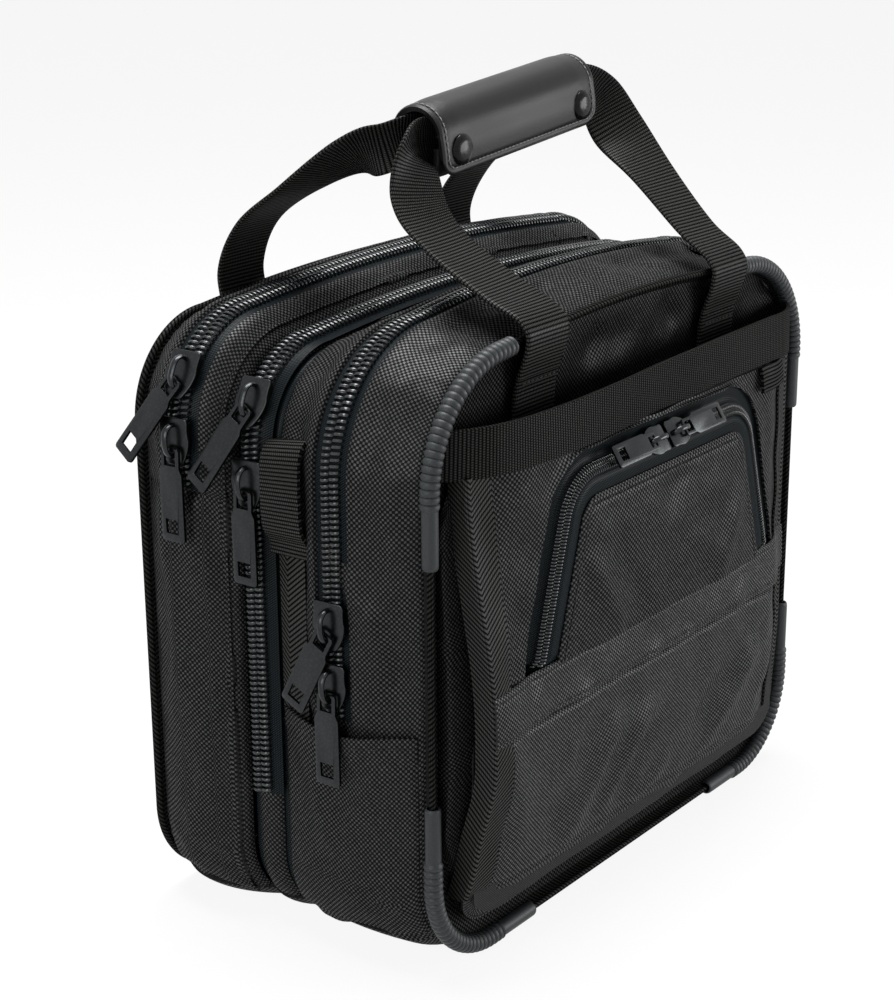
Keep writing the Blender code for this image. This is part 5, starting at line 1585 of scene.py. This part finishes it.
# %% Side tabs and strips
LOOP_NEAR, LOOP_FAR = -0.0148, 0.0062
TAB_LINE = ((0.0, 0.187), (0.0004, 0.193), (0.0046, 0.200), (0.0056, 0.212))
TAB_LINE += ((0.0054, 0.226), (0.0044, 0.234), (0.0016, 0.2385), (-0.0022, 0.2405))


def make_side_tab(hand, side):
    rest = float(section(np.array(LOOP_NEAR), FRONT)[0]) + 0.0012
    line = smooth_line([(rest + off, z) for off, z in TAB_LINE], 8)
    length = run_length(line)

    def place_tab(across, along):
        x, z = along_line(along * length[-1], length, line).T
        y = LOOP_NEAR + (LOOP_FAR - LOOP_NEAR) * across
        return stack(side * x, y, z - 0.003 * across * along)

    def place_strip(across, along):
        y = LOOP_NEAR + 0.002 + (SEAM_Y[1] - LOOP_NEAR - 0.004) * across
        return drape(side * side_u(0.112 + 0.078 * along, y, FRONT), y, FRONT, 0.0012 + 0 * y)

    more = {"slot": "webbing", "inside": (0.0, 0.0, 0.21), "rests": "front_panel"}
    cloth_panel(f"side_tab_{hand}", 14, 60, place_tab, 0.0019, WEBBING, nodes=[f"side_loop_{hand}"], **more)
    cloth_panel(f"side_strip_{hand}", 14, 50, place_strip, 0.0009, BINDING, **more)


SLIP_HEMS = {}
for side, hand in HANDS:
    SLIP_HEMS[hand] = make_side_pocket(hand, side)
    make_side_tab(hand, side)

# %% [markdown]
# ## Sliders and pulls
# A slider is a shield of dark metal with an arched bail, and a pull tab hangs in the bail by its eye.
# Both are modelled once, lying flat. An outline is filled and pulled to a plate, and a Bevel rounds its rims.
# Then they are copied to the frame's places. On the pocket they are a little smaller.


# %% Plates
def plate_of(name, outline, low, high, rim):
    """A plate from an outline (y, z), pulled out from low to high along x."""
    bpy.ops.object.select_all(action="DESELECT")
    bpy.ops.mesh.primitive_circle_add(vertices=len(outline), radius=1.0, fill_type="NGON")
    piece = bpy.context.object
    piece.name = name
    for vertex, (y, z) in zip(piece.data.vertices, outline):
        vertex.co = (low, y, z)
    bpy.ops.object.mode_set(mode="EDIT")
    bpy.ops.mesh.select_all(action="SELECT")
    bpy.ops.mesh.extrude_region_move(TRANSFORM_OT_translate={"value": (high - low, 0, 0)})
    bpy.ops.mesh.select_all(action="SELECT")
    bpy.ops.mesh.normals_make_consistent(inside=False)
    bpy.ops.object.mode_set(mode="OBJECT")
    if rim:
        round_rims(piece, rim)
    return piece


def round_rims(piece, rim):
    bevel = piece.modifiers.new("rims", "BEVEL")
    bevel.width = rim
    bevel.segments = 3
    bevel.limit_method = "ANGLE"
    bevel.angle_limit = math.radians(40)
    apply_modifier(piece, bevel)


def cut_out(piece, cutter):
    cut = piece.modifiers.new("cut", "BOOLEAN")
    cut.operation = "DIFFERENCE"
    cut.object = cutter
    cut.solver = "EXACT"
    apply_modifier(piece, cut)
    bpy.data.objects.remove(cutter, do_unlink=True)


def join_as(name, pieces):
    select_only(pieces[0])
    for piece in pieces[1:]:
        piece.select_set(True)
    bpy.ops.object.join()
    pieces[0].name = name
    pieces[0].data.name = name
    return pieces[0]


print("plate helpers ready")

# %% [markdown]
# Outlines are typed in millimetres and for one side only, because both shapes are symmetrical.
# The pull's plate is bowed a little, so that light runs over it.

# %% Slider and pull
SHIELD = [(6.6, 10.6), (7.5, 10.3), (8.1, 9.0), (7.9, 6.0), (8.1, 3.2), (8.6, 1.0), (8.5, -1.2)]
SHIELD += [(7.8, -4.0), (6.4, -7.0), (4.6, -9.8), (3.4, -10.8)]
LIP = [(5.6, -5.5), (7.2, -3.0), (7.4, 8.5), (5.9, 8.5)]
ARCH = [(4.4, 7.2), (7.6, 7.0), (10.2, 4.6), (10.7, 0.6), (10.0, -3.4), (7.8, -6.2), (4.4, -6.6)]
TAB = [(3.2, 0.7), (4.4, 0.4), (5.0, -0.6), (5.0, -8.2), (5.6, -9.6), (6.3, -10.6), (6.5, -12.0)]
TAB += [(6.5, -40.6), (6.1, -41.6), (5.2, -42.0)]
TAB_HOLES = ((3.25, -0.7, -7.4), (3.6, -31.6, -38.4))


def both_sides(half):
    half = np.array(half) / 1000
    return np.concatenate([half, half[::-1] * np.array([-1, 1])])


def slider_shape():
    plate = plate_of("slider_plate", both_sides(SHIELD), 0.0036, 0.0052, 0.0004)
    lips = []
    for side in (LEFT, RIGHT):
        lip = np.array(LIP) * np.array([side, 1]) / 1000
        lips.append(plate_of("slider_lip", lip, 0.0014, 0.0038, 0.0003))
    arch = smooth_line(ARCH, 5) / 1000
    thick = np.interp(np.arange(len(arch)), [0, len(arch) / 2, len(arch)], [0.0011, 0.00085, 0.0011])
    bail = bent_rod("slider_bail", arch, np.array([round_ring(t, 0.0016, 10) for t in thick]))
    return join_as("slider_shape", [plate, bail] + lips)


def pull_shape():
    tab = plate_of("pull_shape", both_sides(TAB), -0.0007, 0.0007, 0)
    for half, high, low in TAB_HOLES:
        hole = np.array([(half, high), (half, low), (-half, low), (-half, high)]) / 1000
        cut_out(tab, plate_of("pull_hole", hole, -0.003, 0.003, 0))
    round_rims(tab, 0.00028)
    for vertex in tab.data.vertices:
        y, z = vertex.co.y / 0.0065, (vertex.co.z + 0.024) / 0.020
        vertex.co.x += 0.0004 * (1 - y * y) + 0.0007 * (1 - z * z) * (z < 1)
    return tab


SLIDER, PULL = slider_shape(), pull_shape()
print("slider", len(SLIDER.data.polygons), "faces, pull", len(PULL.data.polygons), "faces")

# %% [markdown]
# The sliders stand where the frame has them: two on each side zip and two on the pocket's zip.

# %% Sliders in place
SMALL = 0.8


def side_frame(lobe, z):
    half = float(section(np.array(ZIP_Y[lobe]), lobe)[0])
    return Matrix.Translation((-half, ZIP_Y[lobe], z)) @ Matrix.Rotation(math.pi, 4, "Z")


def bend_frame(lobe, turn):
    half, top, radius, bottom = (float(v) for v in section(np.array(ZIP_Y[lobe]), lobe))
    centre = Matrix.Translation((radius - half, ZIP_Y[lobe], top - CROWN - radius))
    swing = Matrix.Rotation(math.radians(turn), 4, "Y") @ Matrix.Translation((-radius, 0, 0))
    return centre @ swing @ Matrix.Rotation(math.pi, 4, "Z")


def pocket_frame(x, along):
    normal = Vector((0, -math.cos(SLOPE), math.sin(SLOPE)))
    along = Vector((along, 0, 0))
    frame = Matrix((normal, along.cross(normal), along)).transposed().to_4x4()
    frame.translation = (x, POCKET_FACE - 0.002, FLAP_TOP)
    return frame


def put_metal(shape, name, place, size, body, node):
    piece = bpy.data.objects.new(name, shape.data.copy())
    piece.data.name = name
    piece.data.transform(place @ Matrix.Scale(size, 4))
    bpy.context.scene.collection.objects.link(piece)
    dress(piece, METAL, "gunmetal", body, [node], sharp=35)


def put_slider(word, place, tilt, lean, size=1.0):
    put_metal(SLIDER, f"slider_metal_{word}", place, size, f"slider_{word}_body", f"slider_{word}")
    pivot = Matrix.Translation((0.007 * size, 0, -0.0032 * size))
    turn = Matrix.Rotation(math.radians(-tilt), 4, "X") @ Matrix.Rotation(math.radians(-lean), 4, "Y")
    put_metal(PULL, f"pull_metal_{word}", place @ pivot @ turn, size, f"pull_{word}_body", f"pull_{word}")


put_slider("front_upper", side_frame(FRONT, 0.162), 28, 0)
put_slider("front_lower", side_frame(FRONT, 0.134), 0, 0)
put_slider("middle_upper", bend_frame(MIDDLE, 26.5), 28, -7)
put_slider("middle_lower", side_frame(MIDDLE, 0.217), 0, 0)
put_slider("rear_upper", bend_frame(REAR, 28.5), 30, -7)
put_slider("rear_lower", side_frame(REAR, 0.232), 0, 0)
put_slider("pocket_left", pocket_frame(-0.011, 1), 0, 0, SMALL)
put_slider("pocket_right", pocket_frame(0.009, -1), 0, 0, SMALL)
for shape in (SLIDER, PULL):
    bpy.data.objects.remove(shape, do_unlink=True)
print("eight sliders and eight pulls")

# %% [markdown]
# ## Carry straps
# Each strap is a long piece of webbing: sewn to a panel, up over its edge, through the grip and down again.
# Its line is a smooth curve through chosen points.
# Each point also gives the direction of the webbing's width, which makes it twist, and how far it is flat.
# The ends below the stitching stay on the bag, and the free part between them is a piece of its own.

# %% Strap lines
WIDE, THICK, CURL = 0.0310, 0.0022, 0.010
STITCH_Z, GRIP_TILT = 0.262, math.radians(5)
FRONT_X, REAR_X = 0.077, 0.082


def through_grip(y):
    """The straight run of a strap through the tilted grip."""
    cos, sin = math.cos(GRIP_TILT), math.sin(GRIP_TILT)
    spots = (-0.05902, -0.0305, 0.0305, 0.05902)
    return [((x * cos, -0.001 + y, 0.351 + x * sin + 0.0062), (sin, 0, -cos), 0.72) for x in spots]


def sewn_end(side, x, places):
    """Points of a flat end, at one side, from their depths and heights."""
    return [((side * x, y, z), (-side, 0, 0), 1) for y, z in places]


def up(share):
    return 0.284 + 0.067 * share


FRONT_END = [(-0.07495, 0.204), (-0.07495, 0.230), (-0.0753, 0.256), (-0.08195, 0.277)]
REAR_END = [(0.08395, 0.210), (0.08395, 0.230), (0.0843, 0.268), (0.0862, 0.290), (0.074, up(0.418))]
FRONT_STRAP = [
    *sewn_end(LEFT, FRONT_X, FRONT_END),
    ((-FRONT_X, -0.0779, 0.287), (1, 0, 0), 1),
    ((-FRONT_X, -0.058, up(0.18)), (1, 0.1, 0.1), 1),
    ((-0.078, -0.030, up(0.418)), (1, -0.25, -0.1), 0.95),
    ((-FRONT_X, -0.014, up(0.657)), (0.8, -0.5, -0.4), 0.9),
    ((-0.070, -0.008, up(0.955)), (0.3, -0.2, -0.9), 0.75),
    *through_grip(-0.0046),
    ((0.073, -0.009, up(1.085)), (-0.3, 0.2, -0.9), 0.75),
    ((0.078, -0.017, up(0.851)), (-0.8, 0.4, -0.4), 0.9),
    ((0.078, -0.036, up(0.582)), (-1, 0.2, 0), 1),
    ((FRONT_X, -0.062, up(0.224)), (-1, 0, 0), 1),
    ((FRONT_X, -0.0789, 0.287), (-1, 0, 0), 1),
    *sewn_end(RIGHT, FRONT_X, FRONT_END[::-1]),
]
REAR_STRAP = [
    *sewn_end(LEFT, REAR_X, REAR_END),
    ((-0.081, 0.048, up(0.687)), (1, -0.2, 0), 1),
    ((-0.078, 0.024, up(0.896)), (0.8, -0.5, -0.2), 0.9),
    ((-0.070, 0.010, up(0.965)), (0.3, -0.2, -0.9), 0.72),
    *through_grip(0.0046),
    ((0.073, 0.010, up(1.095)), (-0.3, -0.2, -0.9), 0.75),
    ((0.080, 0.026, up(0.955)), (-0.8, -0.4, -0.3), 0.9),
    ((REAR_X, 0.048, up(0.731)), (-1, -0.2, 0), 1),
    *sewn_end(RIGHT, REAR_X, REAR_END[::-1]),
]
print("strap points:", len(FRONT_STRAP), len(REAR_STRAP))

# %% [markdown]
# The strap's ring has a flat top and foot with a slightly thicker edge on each side, as woven webbing has.


# %% Straps
def strap_ring(share):
    s = np.array([-1.0, -0.97, -0.86, -0.5, 0.0, 0.5, 0.86, 0.97, 1.0])
    h = np.array([0.35, 0.85, 1.0, 0.86, 0.84, 0.86, 1.0, 0.85, 0.35])
    curl = CURL * (1 - share) * (1 - s**2)
    upper = stack(s * WIDE / 2 * share, curl + h * THICK / 2)
    lower = stack(s[::-1] * WIDE / 2 * share, curl[::-1] - h * THICK / 2)
    return np.concatenate([upper, lower])


def strap_part(name, line, wide, share, nodes):
    along = unit(np.gradient(line, axis=0))
    wide = unit(wide - along * np.sum(wide * along, axis=-1, keepdims=True))
    piece = sweep(name, line, wide, np.cross(along, wide), np.array([strap_ring(s) for s in share]))
    dress(piece, WEBBING, "webbing", nodes=nodes, sharp=80)
    if nodes:
        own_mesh(piece)
    print(name, round(float(run_length(line)[-1]) * 1000), "mm")


def make_strap(word, stations, node):
    line = smooth_line([s[0] for s in stations], 14)
    wide = smooth_line([s[1] for s in stations], 14)
    share = smooth_line([[s[2]] for s in stations], 14)[:, 0]
    above = np.flatnonzero(line[:, 2] > STITCH_Z)
    first, last = above[0], above[-1]
    for at, low in ((first, first - 1), (last, last + 1)):
        mix = (STITCH_Z - line[low, 2]) / (line[at, 2] - line[low, 2])
        line[low] = line[low] + (line[at] - line[low]) * mix
    spans = {
        "end_left": slice(0, first),
        "free": slice(first - 1, last + 2),
        "end_right": slice(last + 1, None),
    }
    for part, span in spans.items():
        nodes = [node] if part == "free" else []
        strap_part(f"{word}_strap_{part}", line[span], wide[span], share[span], nodes)


make_strap("front", FRONT_STRAP, "front_handle")
make_strap("rear", REAR_STRAP, "rear_handle")

# %% [markdown]
# ## Grip
# The grip is a strip of thick leather rolled round both straps. Its flap closes in front with two snaps.
# It is laid in its own upright frame and then turned by the grip's tilt.

# %% Grip
GRIP = Matrix.Translation((0, -0.001, 0.351)) @ Matrix.Rotation(-GRIP_TILT, 4, "Y")
GRIP_HALF = 0.061


def arc(centre, radius, start, end, count):
    angle = np.radians(np.linspace(start, end, count))
    return stack(centre[0] + radius * np.cos(angle), centre[1] + radius * np.sin(angle))


def in_grip(x, y, z):
    points = stack(x, y, z)
    turn = np.array(GRIP.to_3x3())
    return points @ turn.T + np.array(GRIP.translation)


DROP = np.linspace(0.008, -0.010, 12)
FRONT_FALL = stack(-0.014 - 0.0008 * np.sin((0.008 - DROP) / 0.018 * math.pi), DROP)
FRONT_ROLL = np.concatenate([arc((0, 0.008), 0.014, 14, 180, 44), FRONT_FALL[1:]])
BACK_UNDER = arc((0.001275, 0.000225), 0.012725, 0, -180, 40)
BACK_ROLL = np.concatenate([arc((0, 0.008), 0.014, 14, 0, 6), BACK_UNDER, [(-0.01145, 0.003)]])
GRIP_CORNER, GRIP_STITCH = 0.009, 0.0036
BEND_START, BEND_END = GRIP @ Vector((0, -0.014, 0.0100)), GRIP @ Vector((0, -0.014, 0.0055))


def on_roll(roll, x, at, lift):
    """Points on a rolled strip of leather: x along the grip, at round the roll, lifted off its face."""
    length = run_length(roll)
    y, z = along_line(at, length, roll).T
    ahead_y, ahead_z = along_line(at, length, unit(np.gradient(roll, axis=0))).T
    return in_grip(x, y + ahead_z * lift, z - ahead_y * lift)


def on_back(x, at, lift):
    return on_roll(BACK_ROLL[::-1], x, run_length(BACK_ROLL)[-1] - at, lift)


def rounded(x):
    """How much shorter the front strip is at x, where its lower corners are rounded."""
    bend = np.clip(np.abs(x) - (GRIP_HALF - GRIP_CORNER), 0, GRIP_CORNER)
    return GRIP_CORNER - np.sqrt(np.clip(GRIP_CORNER**2 - bend**2, 0, None))


def pressed(edge):
    """The leather's face near an edge: a stitched groove, a thinned edge and a plump middle."""
    groove = -0.0007 * bell(edge - GRIP_STITCH, 0.0009)
    return groove - 0.0008 * bell(edge, 0.0007) + 0.0006 * ease(edge, GRIP_STITCH, 0.014)


def place_front_roll(across, along):
    x = round_columns(across, GRIP_HALF, GRIP_CORNER)
    total = run_length(FRONT_ROLL)[-1] - rounded(x)
    at = along * total
    return on_roll(FRONT_ROLL, x, at, pressed(np.minimum(GRIP_HALF - np.abs(x), total - at)))


def place_back_roll(across, along):
    x = round_columns(across, GRIP_HALF, GRIP_CORNER)
    at = (1 - along) * run_length(BACK_ROLL)[-1]
    return on_roll(BACK_ROLL[::-1], x, at, pressed(GRIP_HALF - np.abs(x)))


print("leather cuts:", [round(float(run_length(roll)[-1]) * 1000) for roll in (BACK_ROLL, FRONT_ROLL)], "mm")

# %% [markdown]
# The front strip runs over the grip's top and down into its flap. It is not attached to a body.
# The snaps are low domes with a rim.


# %% Leather and snaps
def leather(name, rows, place, roll, nodes, body):
    """A strip of leather with its wall. Without a body it is left unattached."""
    piece = lay_grid(name, 72, rows, place)
    turn_out(piece, tuple(GRIP.translation))
    flat = (2 * GRIP_HALF, float(run_length(roll)[-1]))
    add_wall(piece, 0.0024)
    dress(piece, LEATHER, "grip_leather", body, nodes)
    if not body:
        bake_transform(piece)
        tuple(BEND_START)
        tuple(BEND_END)
    print(name, len(piece.data.polygons), "faces, cut", [round(side * 1000) for side in flat], "mm")


leather("grip_back_leather", 60, place_back_roll, BACK_ROLL, ["grip_wrap"], "grip")
leather("grip_front_leather", 80, place_front_roll, FRONT_ROLL, ["grip_flap"], "")

CAP_RADIUS = 0.0070
CAP_RUN = (0, 0.3, 0.6, 0.8, 0.9, 0.97, 1)
CAP_RISE = (0.0024, 0.0023, 0.0020, 0.0015, 0.0009, 0.0008, 0.0)


def make_cap(name, x, node):
    def place(across, along):
        reach, angle = CAP_RADIUS * along, across * math.tau
        rise = np.interp(along, CAP_RUN, CAP_RISE)
        return in_grip(x + reach * np.cos(angle), -0.0152 - rise, 0.0008 + reach * np.sin(angle))

    piece = lay_grid(name, 36, 16, place)
    close_tube(piece)
    dress(piece, CAP, "gunmetal", "grip_flap_body", [node])


for side, hand in HANDS:
    make_cap(f"snap_dome_{hand}", side * 0.048, f"snap_cap_{hand}")
print("grip and two snaps")

# %% [markdown]
# ## Sewing
# Stitches are small rods laid end to end along the seams. One is modelled, and copies follow each line.


# %% Stitches
def stitch_shape():
    size = np.array([0.35, 0.9, 1.0, 0.9, 0.35])
    line = stack(0, np.linspace(-0.00125, 0.00125, 5), 0.00012 * size)
    first, second = stack(0 * size + 1, 0, 0), stack(0 * size, 0, 1)
    rings = np.array([round_ring(0.00034 * s, 0.00028 * s, 6) for s in size])
    return sweep("stitch_shape", line, first, second, rings)


STITCH = stitch_shape()


def sew(name, line, out, finish=THREAD, slot="webbing", body="bag", pitch=0.0032):
    """Stitches along a line of points. The cloth's outward direction there is out."""
    line = np.asarray(line, float)
    length = run_length(line)
    at = np.arange(pitch / 2, length[-1], pitch)
    out = np.broadcast_to(np.asarray(out, float), line.shape)
    normal = unit(along_line(at, length, out))
    along = unit(along_line(at, length, np.gradient(line, axis=0)))
    across = unit(np.cross(along, normal))
    piece = strew(name, STITCH, along_line(at, length, line), across, np.cross(normal, across), normal)
    dress(piece, finish, slot, body)
    print(name, len(at), "stitches")
    return piece


print("one stitch:", len(STITCH.data.polygons), "faces")

# %% [markdown]
# Two rows hold the pocket's hem, and two each end of the front strap.
# One row runs along the slip pockets' rims, and one round the flap.

# %% Cloth seams
FACING_FRONT = (0, -1, 0)
STRAP_ROWS = ((-0.0768, 0.2555), (-0.0777, 0.2597))

x = np.linspace(-0.136, 0.136, 160)
for k, z in enumerate((HEM_LOW + 0.003, HEM_HIGH - 0.003)):
    points = place_hem((x / HEM_HALF + 1) / 2, 0 * x + (z - HEM_LOW) / (HEM_HIGH - HEM_LOW))
    sew(f"hem_stitches_{k}", points, FACING_FRONT)
for side, hand in HANDS:
    sew(f"side_pocket_stitches_{hand}", SLIP_HEMS[hand], (side, 0, 0))
    across = np.linspace(-0.013, 0.013, 12)
    for k, (y, z) in enumerate(STRAP_ROWS):
        sew(f"strap_stitches_{hand}_{k}", stack(side * FRONT_X + across, y, z), FACING_FRONT)
x, z = flap_line(-0.0145, 200)[0].T
bend_with_flap(sew("flap_stitches", stack(x, POCKET_FACE - 0.0064, z), FACING_FRONT, body=""))

# %% [markdown]
# The grip is sewn with a paler thread: round the free edge of its front strip, and up both ends of its back.

# %% Grip seams
GRIP_PITCH, THREAD_SINK, UNDER = 0.0029, -0.0002, -0.0014


def grip_seam():
    """The front strip's stitch line: down its left end, round the corners and up its right end."""
    low, radius = run_length(FRONT_ROLL)[-1] - GRIP_CORNER, GRIP_CORNER - GRIP_STITCH
    down = stack(-GRIP_HALF + GRIP_STITCH, np.linspace(0.001, low, 40))
    turn = arc((-GRIP_HALF + GRIP_CORNER, low), radius, 180, 90, 10)[1:]
    left = np.concatenate([down, turn])
    return np.concatenate([left, left[::-1] * (-1, 1)])


seam_x, seam_at = grip_seam().T
points = on_roll(FRONT_ROLL, seam_x, seam_at, THREAD_SINK)
away = points - on_roll(FRONT_ROLL, seam_x, seam_at, UNDER)
stitches = sew("grip_front_stitches", points, away, GREY_THREAD, "grip_leather", "", GRIP_PITCH)
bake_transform(stitches)
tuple(BEND_START)
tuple(BEND_END)
for side, hand in HANDS:
    at = np.linspace(0.0, 0.030, 40)
    ends = 0 * at + side * (GRIP_HALF - GRIP_STITCH)
    points = on_back(ends, at, THREAD_SINK)
    away = points - on_back(ends, at, UNDER)
    sew(f"grip_back_stitches_{hand}", points, away, GREY_THREAD, "grip_leather", "grip", GRIP_PITCH)
for shape in (STITCH, COIL_TURN):
    bpy.data.objects.remove(shape, do_unlink=True)
